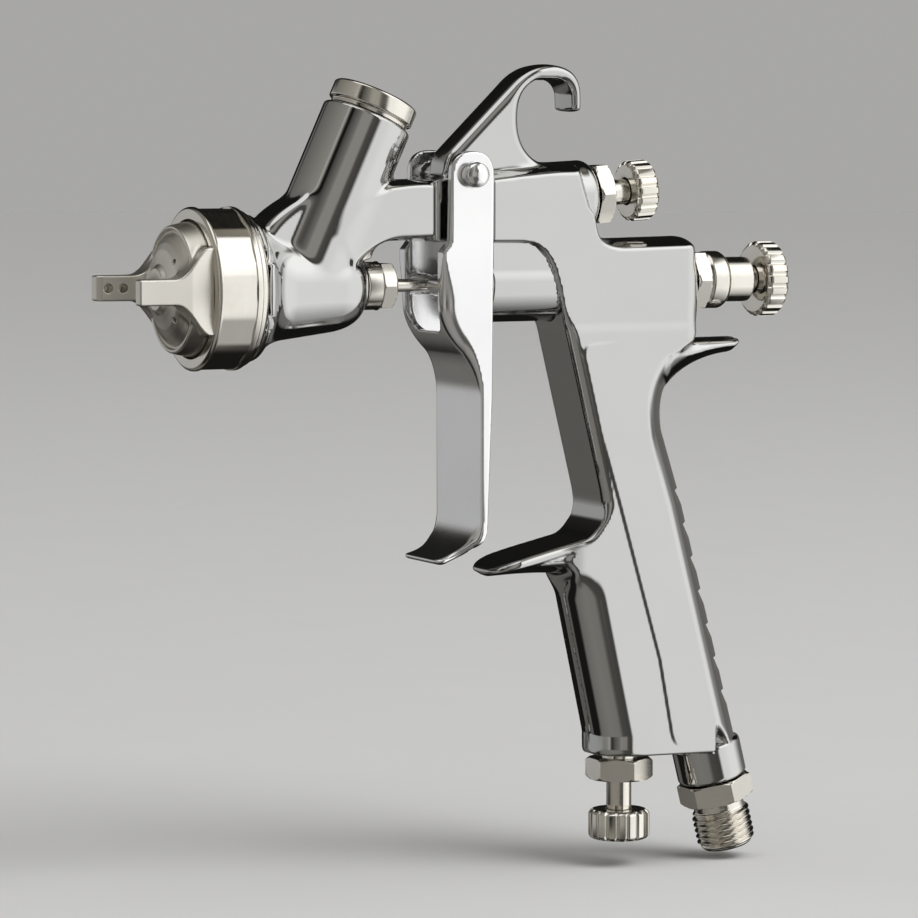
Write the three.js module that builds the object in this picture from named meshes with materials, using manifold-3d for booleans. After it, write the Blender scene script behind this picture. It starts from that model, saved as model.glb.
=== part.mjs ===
// Gravity-feed HVLP spray gun, built as separate named pieces in millimetres.
// Working frame: +Z up, the nozzle points to -X, the gun's left side faces -Y.
// Z = 0 is the fluid axis, X = 0 is the trigger pivot, Y = 0 is the mid-plane.
// The last lines move the whole gun so that its origin is the hanging point of the hook.
import * as THREE from "three";
import { mergeVertices } from "three/addons/utils/BufferGeometryUtils.js";
import Module from "manifold-3d";

const wasm = await Module();
wasm.setup();

// ---------------------------------------------------------------- driving dimensions (mm)
const SIMPLIFY = 0.04; // edges shorter than this are merged away
const HALF = 9; // half thickness of the cast body
const PIVOT_Z = 24; // trigger pivot above the fluid axis
const ARM_IN = 9.9; // inner face of the trigger arms
const ARM_OUT = 11.9; // outer face of the trigger arms
const NEEDLE_R = 1.4;
const NEEDLE_COLLAR = 35; // the collar that the air valve stem pushes on
const RING_R = 17.5; // air cap ring
const RING_FRONT = -61.2;
const RING_BACK = -49.3;
const CAP_LIP_R = 14.5; // part of the cap that shows in the ring opening
const HORN_TIP_X = -77.8;
const NOZZLE_TIP_X = -69.2;
const INLET_X = -36.3; // where the inlet axis meets the fluid axis
const INLET_LEAN = THREE.MathUtils.degToRad(24.6);
const INLET_R = 9.9;
const INLET_TOP = 39.9; // along the inlet axis
const CUP_FACE = 45.2; // seat of the paint cup, along the inlet axis
const CUP_BORE_R = 4.4;
const GRIP_LEAN = THREE.MathUtils.degToRad(14);
const PATTERN_TILT = THREE.MathUtils.degToRad(4);
const PATTERN_Z = 19.2; // pattern valve axis at the rear slope
const PATTERN_X = 33;
const BOTTOM_VALVE_X = 41.6;
const AIR_DUCT_Y = 5.3; // the two air ducts pass either side of the paint inlet
const AIR_DUCT_Z = 17.4;
const NIPPLE_TOP = [65.4, -112.7]; // start of the nipple hexagon on its own axis
const BLOCK_END = 57.8; // rear face of the body around the fluid guide
const BLOCK_TOP = 9.9;
const HOOK_X = 21.4; // hanging point under the top of the hook
const HOOK_Z = 44.4;

const STEEL = { color: 0xb9b8b0, roughness: 0.25, metalness: 1 };
const CHROME = { color: 0xd6d6d2, roughness: 0.12, metalness: 1 };
const BRASS = { color: 0xb59a5a, roughness: 0.35, metalness: 1 };
const WHITE_PLASTIC = { color: 0xe6e4dc, roughness: 0.6, metalness: 0 };

// ---------------------------------------------------------------- solids
// A closed manifold-3d solid from any closed three.js geometry.
function solid(geometry) {
  const bare = geometry.index ? geometry.toNonIndexed() : geometry.clone();
  bare.deleteAttribute("normal");
  bare.deleteAttribute("uv");
  const merged = mergeVertices(bare, 1e-4);
  const index = merged.index.array;
  const kept = [];
  for (let i = 0; i < index.length; i += 3) {
    const [a, b, c] = [index[i], index[i + 1], index[i + 2]];
    if (a !== b && b !== c && a !== c) kept.push(a, b, c);
  }
  return new wasm.Manifold(
    new wasm.Mesh({
      numProp: 3,
      vertProperties: merged.attributes.position.array,
      triVerts: new Uint32Array(kept),
    }),
  );
}

const union = (...parts) => parts.reduce((whole, part) => whole.add(part));
const cut = (body, ...tools) => tools.reduce((left, tool) => left.subtract(tool), body);

// Turns a solid made along +X so that it points up at the given angle in the XZ plane.
function aimed(s, angle, x, z) {
  return s.rotate([0, -THREE.MathUtils.radToDeg(angle), 0]).translate([x, 0, z]);
}

// Body of revolution about the X axis. The profile is a closed loop of [x, radius].
function turned(profile, segments = 32) {
  const points = profile.map(([x, r]) => new THREE.Vector2(r, x));
  points.push(points[0].clone());
  const lathe = new THREE.LatheGeometry(points, segments);
  lathe.rotateZ(-Math.PI / 2);
  const made = solid(lathe);
  if (made.volume() > 0) return made;
  return turned([...profile].reverse(), segments);
}

const rod = (x0, x1, r, segments = 24) =>
  turned([[x0, 0], [x1, 0], [x1, r], [x0, r]], segments);

const tube = (x0, x1, inner, outer, segments = 28) =>
  turned([[x0, inner], [x1, inner], [x1, outer], [x0, outer]], segments);

// A bar of hexagonal section along X, with chamfered corners.
function hexagon(x0, x1, acrossFlats, bevel = 0.5) {
  const corner = acrossFlats / Math.sqrt(3);
  const across = rod(x0, x1, corner, 6).rotate([30, 0, 0]);
  const shaver = turned(
    [[x0, 0], [x1, 0], [x1, corner - bevel], [x1 - bevel, corner],
      [x0 + bevel, corner], [x0, corner - bevel]], 24);
  return across.intersect(shaver);
}

// A knob or ring edge with rounded flutes cut along X.
function fluted(s, x0, x1, radius, count, depth) {
  const tools = [];
  for (let i = 0; i < count; i += 1) {
    const turn = (360 * i) / count;
    const flute = rod(x0, x1, depth * 1.6, 6).translate([0, 0, radius + depth * 0.6]);
    tools.push(flute.rotate([turn, 0, 0]));
  }
  return cut(s, ...tools);
}

// The outline's points once each, counter-clockwise in XZ.
function outlinePoints(outline, curveSteps) {
  const kept = [];
  for (const point of outline.getPoints(curveSteps)) {
    const last = kept[kept.length - 1];
    if (!last || last.distanceTo(point) > 0.01) kept.push(point);
  }
  if (kept[0].distanceTo(kept[kept.length - 1]) < 0.01) kept.pop();
  return THREE.ShapeUtils.isClockWise(kept) ? kept.reverse() : kept;
}

// Unit steps that move each corner of a counter-clockwise outline inwards.
function inwardSteps(points) {
  const count = points.length;
  return points.map((point, i) => {
    const before = point.clone().sub(points[(i + count - 1) % count]).normalize();
    const after = points[(i + 1) % count].clone().sub(point).normalize();
    const sum = new THREE.Vector2(-before.y - after.y, before.x + after.x);
    return sum.divideScalar(Math.max(0.5, 1 + before.dot(after)));
  });
}

// A plate whose outline lies in the XZ plane, centred on Y = 0, with rounded edges.
function plate(outline, width, edge = 0, edgeSteps = 2, curveSteps = 6) {
  const points = outlinePoints(outline, curveSteps);
  const inward = inwardSteps(points);
  const count = points.length;
  const layers = [];
  for (let k = 0; k <= (edge > 0 ? edgeSteps : 0); k += 1) {
    const turn = edge > 0 ? (Math.PI / 2) * (k / edgeSteps) : 0;
    layers.push([edge * (1 - Math.cos(turn)) - width / 2, edge * (1 - Math.sin(turn))]);
  }
  for (let k = layers.length - 1; k >= 0; k -= 1) layers.push([-layers[k][0], layers[k][1]]);
  const positions = [];
  for (const [y, inset] of layers) {
    points.forEach((point, i) => {
      positions.push(point.x + inset * inward[i].x, y, point.y + inset * inward[i].y);
    });
  }
  const last = (layers.length - 1) * count;
  const faces = [];
  for (const [a, b, c] of THREE.ShapeUtils.triangulateShape(points, [])) {
    faces.push(a, b, c, last + a, last + c, last + b);
  }
  for (let k = 0; k + 1 < layers.length; k += 1) {
    for (let i = 0; i < count; i += 1) {
      const [a, b] = [k * count + i, k * count + ((i + 1) % count)];
      faces.push(a, a + count, b + count, a, b + count, b);
    }
  }
  return new wasm.Manifold(
    new wasm.Mesh({
      numProp: 3,
      vertProperties: new Float32Array(positions),
      triVerts: new Uint32Array(faces),
    }),
  );
}

const polygon = (points) => new THREE.Shape(points.map(([x, z]) => new THREE.Vector2(x, z)));

function block(x0, x1, y0, y1, z0, z1) {
  const box = new THREE.BoxGeometry(x1 - x0, y1 - y0, z1 - z0);
  box.translate((x0 + x1) / 2, (y0 + y1) / 2, (z0 + z1) / 2);
  return solid(box);
}

// A round bar along Y.
const crossBar = (x, z, r, y0, y1, segments = 20) =>
  rod(y0, y1, r, segments).rotate([0, 0, 90]).translate([x, 0, z]);

// A compression spring along X: one closed body swept along a helix.
function spring(x0, x1, coilR, wireR, turns, perTurn = 10, sides = 4) {
  const steps = turns * perTurn;
  const positions = [];
  const faces = [];
  for (let i = 0; i <= steps; i += 1) {
    const angle = (2 * Math.PI * i) / perTurn;
    const x = x0 + wireR + ((x1 - x0 - 2 * wireR) * i) / steps;
    for (let j = 0; j < sides; j += 1) {
      const a = (2 * Math.PI * j) / sides;
      const r = coilR + wireR * Math.cos(a);
      positions.push(x + wireR * Math.sin(a), r * Math.cos(angle), r * Math.sin(angle));
    }
  }
  const at = (i, j) => i * sides + (j % sides);
  for (let i = 0; i < steps; i += 1) {
    for (let j = 0; j < sides; j += 1) {
      faces.push(at(i, j), at(i + 1, j), at(i + 1, j + 1));
      faces.push(at(i, j), at(i + 1, j + 1), at(i, j + 1));
    }
  }
  for (let j = 1; j < sides - 1; j += 1) {
    faces.push(at(0, 0), at(0, j), at(0, j + 1));
    faces.push(at(steps, 0), at(steps, j + 1), at(steps, j));
  }
  const wire = new wasm.Manifold(
    new wasm.Mesh({
      numProp: 3,
      vertProperties: new Float32Array(positions),
      triVerts: new Uint32Array(faces),
    }),
  );
  if (wire.volume() > 0) return wire;
  const turnedOver = [];
  for (let i = 0; i < faces.length; i += 3) turnedOver.push(faces[i], faces[i + 2], faces[i + 1]);
  return new wasm.Manifold(
    new wasm.Mesh({
      numProp: 3,
      vertProperties: new Float32Array(positions),
      triVerts: new Uint32Array(turnedOver),
    }),
  );
}

// ---------------------------------------------------------------- places on the leaning axes
const inletAim = Math.PI / 2 - INLET_LEAN;
const onInlet = (s) => aimed(s, inletAim, INLET_X, 0);
const onPattern = (s) => aimed(s, PATTERN_TILT, PATTERN_X, PATTERN_Z);
const gripDown = -Math.PI / 2 + GRIP_LEAN;
const onNipple = (s) => aimed(s, gripDown, NIPPLE_TOP[0], NIPPLE_TOP[1]);
const onBottomValve = (s) => aimed(s, -Math.PI / 2, BOTTOM_VALVE_X, 0);

// ---------------------------------------------------------------- cast body
function frontBarrel() {
  return turned([
    [-56, 0], [-56, 13.6], [-49, 13.6], [-49, 15.6], [-47.8, 15.6], [-45.6, 13.7], [-43, 11.9],
    [-40, 11.2], [-28.6, 9.8], [-23.2, 8], [-21.9, 6.4], [-21.9, 0],
  ], 30);
}

function inletBoss() {
  return onInlet(turned([
    [0, 0], [INLET_TOP, 0], [INLET_TOP, INLET_R - 0.6], [INLET_TOP - 0.6, INLET_R],
    [3, INLET_R], [0, 8.8],
  ], 28));
}

function neckFillet() {
  const web = new THREE.Shape();
  web.moveTo(-46.4, 12);
  web.quadraticCurveTo(-44.4, 15.6, -38.4, 18.9);
  web.lineTo(-34, 22);
  web.lineTo(-18, 24);
  web.lineTo(-21, 6);
  web.lineTo(-44, 4);
  return plate(web, 16, 3.2, 3);
}

function bridge() {
  const side = new THREE.Shape();
  side.moveTo(-26, 4);
  side.quadraticCurveTo(-20.5, 9.6, -15, 9.7);
  side.lineTo(-4, 9.9);
  side.lineTo(-4, 22.9);
  side.lineTo(-9, 23);
  side.quadraticCurveTo(-11.6, 23.6, -14.6, 28);
  side.lineTo(-30, 24);
  side.closePath();
  return plate(side, 17, 1.6);
}

function upperBlock() {
  const side = new THREE.Shape();
  side.moveTo(-8, 9.6);
  side.lineTo(-8, 22.8);
  side.quadraticCurveTo(8, 25.4, 22, 26.3);
  side.lineTo(28.6, 26.4);
  side.quadraticCurveTo(31, 18, 33.2, 11.8);
  side.quadraticCurveTo(34.4, 9.6, 38, 9.6);
  side.lineTo(55.2, BLOCK_TOP);
  side.lineTo(BLOCK_END, BLOCK_TOP - 2.6);
  side.lineTo(BLOCK_END, -7);
  side.lineTo(55.4, -9.2);
  side.lineTo(24.6, -9.2);
  side.lineTo(21.6, 1);
  side.quadraticCurveTo(19.6, 9.4, 12.6, 9.4);
  side.closePath();
  const whole = plate(side, 2 * HALF, 1.5);
  // the sides step in where the trigger arms swing
  const step = (y0, y1) => block(-7.1, 6.2, y0, y1, 5, 40);
  const rearCorners = polygon([
    [-10, -12], [54.2, -12], [54.2, -HALF - 0.01], [BLOCK_END, -5.6], [BLOCK_END, 5.6],
    [54.2, HALF + 0.01], [54.2, 12], [-10, 12],
  ]);
  const planRounding = plate(rearCorners, 80).rotate([-90, 0, 0]);
  return cut(whole.intersect(planRounding), step(8.5, 12), step(-12, -8.5));
}

function valveBarrel() {
  return turned([[6, 0], [6, 7.4], [7, 8.4], [30, 8.4], [30, 0]], 28);
}

function patternBoss() {
  return onPattern(turned([[-16, 0], [-16, 7], [-14, 7.6], [-0.8, 7.6], [-0.8, 0]], 28));
}

function grip() {
  const side = new THREE.Shape();
  side.moveTo(22.6, -2);
  side.lineTo(33.2, -46);
  side.lineTo(33.6, -50);
  side.quadraticCurveTo(27, -57, 26.5, -66);
  side.lineTo(33.2, -97);
  side.quadraticCurveTo(34, -100, 34, -105.2);
  side.lineTo(55.2, -105.6);
  side.lineTo(57.2, -111.4);
  side.lineTo(70.8, -108.6);
  side.lineTo(54.9, -48);
  side.lineTo(51, -33);
  side.quadraticCurveTo(49.2, -22.5, 57, -18.2);
  side.lineTo(57, -8);
  side.closePath();
  return plate(side, 2 * HALF, 3.2, 3);
}

function thumbHorn() {
  const side = new THREE.Shape();
  side.moveTo(50, -8);
  side.quadraticCurveTo(54, -12.6, 58, -12.9);
  side.lineTo(69.6, -12.7);
  side.lineTo(70.2, -14.4);
  side.lineTo(68.6, -16.4);
  side.quadraticCurveTo(58, -17.2, 52, -23.5);
  side.lineTo(44, -24);
  side.lineTo(44, -10);
  return plate(side, 15, 0.9);
}

function fingerGuard() {
  const side = new THREE.Shape();
  side.moveTo(35, -46.5);
  side.quadraticCurveTo(33.5, -53.5, 28.5, -55.4);
  side.quadraticCurveTo(15.4, -59, 9.8, -61.2);
  side.quadraticCurveTo(5.6, -62.8, 8.4, -64.3);
  side.quadraticCurveTo(20, -63.6, 25.6, -64.4);
  side.quadraticCurveTo(28, -66, 30, -74);
  side.lineTo(38, -60);
  side.closePath();
  const blade = plate(side, 17, 1.4);
  const tip = rod(-70, -50, 8.6, 28).rotate([0, 90, 0]).translate([14.4, 0, -120]);
  return blade.intersect(union(tip, block(14, 40, -9, 9, -80, -40)));
}

function hook() {
  const side = new THREE.Shape();
  side.moveTo(-3.4, 24);
  side.quadraticCurveTo(-3.6, 27.6, -1.2, 29.8);
  side.lineTo(13, 43.6);
  side.quadraticCurveTo(17.2, 47.9, 22.6, 47.9);
  side.quadraticCurveTo(29.8, 47.4, 29.8, 41);
  side.lineTo(29.8, 37.4);
  side.lineTo(27.2, 37.6);
  side.lineTo(27.1, 41);
  side.quadraticCurveTo(26.6, 44.2, 23.2, 44.4);
  side.lineTo(19.4, 44.4);
  side.quadraticCurveTo(14.8, 42.8, 14.6, 37);
  side.quadraticCurveTo(14.2, 29.5, 19.5, 26.6);
  side.lineTo(24, 24);
  side.closePath();
  return plate(side, 10.4, 1.1, 2, 5);
}

function nippleBoss() {
  return onNipple(turned([[-16, 0], [-16, 7.6], [-3, 7.6], [-0.3, 6.6], [-0.3, 0]], 28));
}

function bottomValveBoss() {
  return onBottomValve(turned([[96, 0], [96, 7], [105.6, 7], [105.6, 0]], 24));
}

// Passages: paint, needle, air from the nipple to the cap, and the valve chambers.
function passages() {
  return [
    onInlet(rod(2, 60, 3.8, 20)),
    onInlet(rod(25.7, 60, 4.8, 20)),
    onInlet(rod(37.6, 60, 5.5, 20)),
    rod(-60, -30, 5.2, 24),
    rod(-31, 3, 2.2, 16),
    rod(-25.2, -20, 3.6, 20),
    tube(-60, -46, 8.6, 10.8, 24),
    rod(5, 14.2, 4.7, 20),
    rod(14, 33.2, 6, 24),
    rod(33, 60, 5.4, 24),
    onNipple(rod(-118, 2, 3.2, 16)),
    onNipple(rod(-12, 2, 5, 20)),
    onBottomValve(rod(88, 108, 4.2, 20)),
    rod(0, 22, 2.4, 12).translate([BOTTOM_VALVE_X, 0, -93]),
    onPattern(rod(-13, 1, 4.6, 20)),
    ...[-AIR_DUCT_Y, AIR_DUCT_Y].flatMap((y) => [
      rod(-33.6, 24, 1.3, 12).translate([0, y, AIR_DUCT_Z]),
      aimed(rod(-0.6, 19.4, 1.3, 12), Math.PI + 0.495, -33, AIR_DUCT_Z).translate([0, y, 0]),
    ]),
    crossBar(22.6, AIR_DUCT_Z, 1.3, -AIR_DUCT_Y, AIR_DUCT_Y, 12),
    aimed(rod(0, 16, 2.2, 12), Math.PI / 2, 26, 3),
  ];
}

function bodyPanel() {
  // shallow recess on each side of the grip that frames a plain panel
  const outline = new THREE.Shape();
  outline.moveTo(30.4, -15.6);
  outline.lineTo(49.6, -98);
  outline.quadraticCurveTo(51, -101.6, 54, -101.6);
  outline.lineTo(58, -101.6);
  outline.lineTo(42.8, -38);
  outline.quadraticCurveTo(40.6, -25, 44.8, -17.4);
  outline.quadraticCurveTo(38, -14, 30.4, -15.6);
  const inner = plate(outline, 0.6, 0);
  return [inner.translate([0, HALF, 0]), inner.translate([0, -HALF, 0])];
}

// Small ridges down the back of the grip.
function backNotches() {
  const notches = [];
  for (let i = 0; i < 7; i += 1) {
    const z = -46.4 - 7.6 * i;
    const x = 55 + (-48 - z) * Math.tan(GRIP_LEAN);
    const notch = polygon([[-0.5, 0], [1, 0], [1, 1.6]]);
    notches.push(plate(notch, 20).translate([x, 0, z]));
  }
  return notches;
}

function gunBody() {
  const cast = union(
    frontBarrel(), inletBoss(), neckFillet(), bridge(), upperBlock(), valveBarrel(),
    patternBoss(), grip(), thumbHorn(), fingerGuard(), hook(), nippleBoss(), bottomValveBoss(),
  );
  const pinHole = crossBar(0, PIVOT_Z, 2.4, -14, 14);
  return cut(cast, ...passages(), ...bodyPanel(), ...backNotches(), pinHole);
}

// ---------------------------------------------------------------- air cap set
function airCap() {
  const dome = turned([
    [-57.2, 15.4], [-58.6, 15.4], [-58.6, CAP_LIP_R], [-62, 14.3], [-64.9, 13.6],
    [-65.2, 13], [-64.7, 12.4], [-66.8, 7.4], [-68.2, 5.2], [-68.9, 4.4],
    [-68.9, 2.1], [-66.5, 3.2], [-63, 7.6], [-60, 12], [-57.2, 12.6],
  ], 32);
  const horn = (side) => {
    const plan = new THREE.Shape();
    plan.moveTo(HORN_TIP_X, 14.6);
    plan.lineTo(HORN_TIP_X, 11.7);
    plan.lineTo(-76.6, 10.6);
    plan.lineTo(-69.5, 9.4);
    plan.quadraticCurveTo(-66.2, 8.4, -65, 7);
    plan.lineTo(-62, 10.8);
    plan.lineTo(-60, 12.6);
    plan.lineTo(-60, 14.2);
    plan.lineTo(-63, 14.5);
    plan.closePath();
    const bar = plate(plan, 5.5, 0.7).rotate([-90, 0, 0]);
    const drill = (x) => rod(8, 13.6, 0.9, 10).rotate([0, 0, 90]).translate([x, 0, 0]);
    const made = cut(bar, drill(-75.4), drill(-72.2));
    return side > 0 ? made : made.rotate([180, 0, 0]);
  };
  const faceHoles = [];
  for (const turn of [45, 135, 225, 315]) {
    faceHoles.push(rod(-70, -60, 0.5, 8).translate([0, 0, 8.6]).rotate([turn, 0, 0]));
  }
  const drilled = cut(dome, ...faceHoles);
  return union(drilled, horn(1), horn(-1));
}

function airCapRing() {
  const ring = turned([
    [RING_FRONT, 14.9], [RING_FRONT, 16.9], [RING_FRONT + 0.7, RING_R], [-51.2, RING_R],
    [-49.9, 16.9], [RING_BACK, 16.2], [RING_BACK, 14], [-56.4, 14],
    [-56.4, 15.8], [-58.9, 15.8], [-58.9, 14.9],
  ], 36);
  const tools = [];
  const facets = 12;
  for (let i = 0; i < facets; i += 1) {
    const slot = block(-60, -52.2, -2.6, 2.6, RING_R - 0.3, RING_R + 2);
    tools.push(slot.rotate([(360 * i) / facets + 15, 0, 0]));
  }
  return cut(ring, ...tools);
}

function fluidNozzle() {
  const turnedPart = turned([
    [NOZZLE_TIP_X, 0.75], [NOZZLE_TIP_X, 1.6], [-66, 2.2], [-62.5, 5.2], [-60.6, 7.4],
    [-58.4, 7.4], [-58.4, 4.9], [-48, 4.9], [-48, 3], [-62, 3], [-67, 1.75],
  ], 24);
  const spanner = hexagon(-58.6, -56.3, 14.6, 0.6);
  return union(turnedPart, cut(spanner, rod(-60, -50, 4.2, 20)));
}

const airBaffle = () => tube(-57, -56.3, 8.8, 12.2, 24);
const capSeal = () => tube(-56.9, -56.3, 12.5, 13.5, 24);


// ---------------------------------------------------------------- paint side
function fluidNeedle() {
  return turned([
    [-69, 0], [-69, 0.35], [-64.5, NEEDLE_R], [NEEDLE_COLLAR, NEEDLE_R],
    [NEEDLE_COLLAR, 3.2], [NEEDLE_COLLAR + 3, 3.2], [NEEDLE_COLLAR + 3, 2], [52.4, 2], [52.4, 0],
  ], 20);
}

const needlePacking = () =>
  turned([[-25, 1.7], [-22.4, 1.7], [-22.4, 3.3], [-24.2, 3.3], [-25, 2.6]], 20);

function packingNut() {
  const collar = tube(-21.5, -17.6, 1.9, 5.2, 20);
  const hex = cut(hexagon(-17.7, -14.5, 9.6, 0.5), rod(-20, -10, 1.9, 16));
  const plug = tube(-22.1, -21.2, 1.9, 3.3, 20);
  return union(plug, collar, hex);
}

function cupJoint() {
  return onInlet(turned([
    [26, 3.4], [37, 3.4], [39, CUP_BORE_R], [CUP_FACE, CUP_BORE_R], [CUP_FACE, 8.9],
    [44.6, 9.5], [41.4, 9.5], [40.2, 8.6], [40.2, 5.2], [38, 4.5], [26, 4.5],
  ], 28));
}

// ---------------------------------------------------------------- trigger
function triggerProfile() {
  const side = new THREE.Shape();
  side.moveTo(-4.6, 24.6);
  side.absarc(0, PIVOT_Z, 5.1, Math.PI, 0, true);
  side.lineTo(4.7, -24);
  side.lineTo(3.6, -53.4);
  side.quadraticCurveTo(2.6, -57, -1, -58.8);
  side.lineTo(-5.4, -60.6);
  side.quadraticCurveTo(-8.4, -60, -7, -58.9);
  side.quadraticCurveTo(0.6, -57.6, 1.8, -51);
  side.lineTo(1.9, -25);
  side.quadraticCurveTo(1.9, -19, -1.5, -14.8);
  side.quadraticCurveTo(-7, -9.5, -7, -4);
  side.lineTo(-7, 7.4);
  side.lineTo(-5.4, 9.4);
  side.closePath();
  return side;
}

function triggerInside() {
  // the same outline set in by the sheet thickness, open to the rear
  const side = new THREE.Shape();
  side.moveTo(-8, 40);
  side.lineTo(14, 40);
  side.lineTo(14, -66);
  side.lineTo(-3, -66);
  side.lineTo(-8.6, -60.9);
  side.quadraticCurveTo(2.2, -59.4, 3.3, -51);
  side.lineTo(3.5, -25);
  side.quadraticCurveTo(3.6, -18, -0.1, -13.8);
  side.quadraticCurveTo(-5.4, -9, -5.4, -4);
  side.lineTo(-5.4, 9);
  side.lineTo(-8, 12);
  side.closePath();
  return side;
}

function trigger() {
  const outer = plate(triggerProfile(), 2 * ARM_OUT, 0.7, 2, 8);
  const hollow = plate(triggerInside(), 2 * ARM_IN, 0, 1, 8);
  const lipOutline = polygon([[-9, -57.4], [-1, -57.4], [-1, -62], [-9, -62]]);
  const lipSheet = outer.intersect(plate(lipOutline, 2 * ARM_IN - 1, 0));
  const windowOutline = new THREE.Shape();
  windowOutline.moveTo(-8.4, 14);
  windowOutline.lineTo(-8.4, -5.6);
  windowOutline.quadraticCurveTo(-8.2, -9.9, -4, -10);
  windowOutline.lineTo(4, -10);
  windowOutline.quadraticCurveTo(8.2, -9.9, 8.4, -5.6);
  windowOutline.lineTo(8.4, 14);
  const window = plate(windowOutline, 9, 0, 1, 4).rotate([0, 0, 90]).translate([-6, 0, 0]);
  const narrowing = union(
    block(-20, -1, 9.7, 20, -70, -57.6),
    block(-20, -1, -20, -9.7, -70, -57.6),
  );
  const pad = (y0, y1) => crossBar(-4.2, 0, 2.4, y0, y1, 24);
  const shell = cut(outer, hollow);
  const openShell = cut(union(shell, lipSheet), window, narrowing);
  const pinHole = crossBar(0, PIVOT_Z, 2.4, -14, 14);
  return cut(union(openShell, pad(1.9, 10.4), pad(-10.4, -1.9)), pinHole);
}

function triggerPin() {
  const shank = crossBar(0, PIVOT_Z, 2.1, -12.2, 11.2, 16);
  const head = rod(0, 3.2, 2.85, 20);
  const crown = turned([[3, 0], [3, 2.85], [3.5, 2], [3.6, 0]], 20);
  const cap = union(head, crown).rotate([0, 0, -90]).translate([0, -12.1, PIVOT_Z]);
  const thread = crossBar(0, PIVOT_Z, 1.2, 11, 12.6, 16);
  return union(shank, cap, thread);
}

function triggerScrew() {
  const head = rod(0, 2, 3.4, 24);
  const crown = turned([[1.9, 0], [1.9, 3.4], [2.6, 2.6], [2.8, 0]], 24);
  const slot = block(2, 4, -0.4, 0.4, -4, 4);
  const bore = rod(-1, 0.8, 1.5, 16);
  return cut(union(head, crown), slot, bore).rotate([0, 0, 90]).translate([0, 12.2, PIVOT_Z]);
}

// ---------------------------------------------------------------- air valve
const airValveStem = () =>
  turned([
    [-1.5, 1.7], [-1.5, 4], [-0.3, 4], [-0.3, 2.6], [14.6, 2.6], [14.6, 5.2], [16, 5.2],
    [16, 3.4], [18, 3.4], [18, 2.4], [33.1, 2.4], [33.1, 1.7],
  ], 24);
const airValveSeat = () => tube(9.5, 13.8, 2.9, 4.4, 24);
const airValveSeal = () => tube(6.3, 9.2, 2.9, 4.4, 20);
const airValveSpring = () => spring(16.4, 31, 4.5, 0.45, 5);
const springPlate = () =>
  turned([[31.4, 2.7], [32.9, 2.7], [32.9, 5.7], [31.4, 5.7]], 24);

const needleChuck = () => tube(NEEDLE_COLLAR + 0.3, NEEDLE_COLLAR + 2.7, 3.5, 4.3, 20);
const needleSpring = () => spring(38.4, 57.6, 3.6, 0.5, 6);

// ---------------------------------------------------------------- rear fluid adjustment
function fluidGuide() {
  const thread = tube(39, 58.2, 4.6, 5.1, 24);
  const hex = cut(hexagon(58.1, 61.5, 12.2, 0.6), rod(50, 70, 3.3, 20));
  const collar = turned([
    [61.4, 3.3], [61.4, 5.9], [62.2, 6.4], [65.6, 6.4], [66.6, 5.7], [66.6, 5], [73, 5],
    [73, 3.3],
  ], 24);
  return union(thread, hex, collar);
}

const fluidScrew = () => rod(58, 77.6, 2.9, 20);
function fluidKnob() {
  return fluted(turned([
    [74.9, 3.2], [74.9, 7.6], [75.6, 8.4], [79.4, 8.4], [80.2, 7.4], [80.2, 3.2], [79.6, 2.6],
    [79.6, 0], [77.9, 0], [77.9, 3.2],
  ], 32), 70, 90, 8.4, 18, 0.45);
}

// ---------------------------------------------------------------- pattern valve
function patternNut() {
  const hex = cut(hexagon(-0.4, 4.4, 12.6, 0.6), rod(-6, 8, 3.1, 20));
  const thread = tube(-6, -0.4, 3.1, 4.3, 24);
  return onPattern(union(thread, hex));
}
const patternStem = () =>
  onPattern(turned([[-11.6, 0], [-9, 2.4], [-7, 2.8], [12.2, 2.8], [12.2, 0]], 20));
function patternKnob() {
  const head = fluted(turned([
    [9.8, 3.1], [9.8, 6.1], [10.4, 6.7], [14.6, 6.7], [15.4, 5.9], [15.4, 0], [12.6, 0],
    [12.6, 3.1],
  ], 32), 5, 20, 6.7, 16, 0.4);
  return onPattern(head);
}

// ---------------------------------------------------------------- grip end
function bottomValveNut() {
  const hex = cut(hexagon(106.4, 111.2, 13.1, 0.6), rod(100, 115, 3.1, 20));
  const thread = tube(98, 106.5, 3.1, 3.9, 24);
  return onBottomValve(union(thread, hex));
}
const bottomValveStem = () =>
  onBottomValve(turned([[89.4, 0], [92, 2.4], [93, 2.8], [121, 2.8], [121, 0]], 20));
function bottomValveKnob() {
  const head = fluted(turned([
    [118, 3.1], [118, 6.2], [118.6, 6.85], [123.9, 6.85], [124.7, 6.1], [124.7, 0], [121.4, 0],
    [121.4, 3.1],
  ], 32), 110, 130, 6.85, 16, 0.4);
  return onBottomValve(head);
}

function airNipple() {
  const hex = hexagon(0, 5, 14.6, 0.7);
  const threadPitch = 1.5;
  const profile = [[4.8, 0], [4.8, 5.6], [6.4, 5.6]];
  for (let i = 0; i < 5; i += 1) {
    const x = 6.9 + threadPitch * i;
    profile.push([x, 5.75], [x + threadPitch / 2, 6.58]);
  }
  profile.push([14.9, 5.7], [16.2, 5.5], [16.2, 0]);
  const tail = rod(-9, 0.2, 4.6, 24);
  return onNipple(cut(union(tail, hex, turned(profile, 24)), rod(-12, 20, 3.4, 16)));
}

// ---------------------------------------------------------------- all pieces
const gun = new THREE.Group();
gun.name = "spray_gun";

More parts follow.
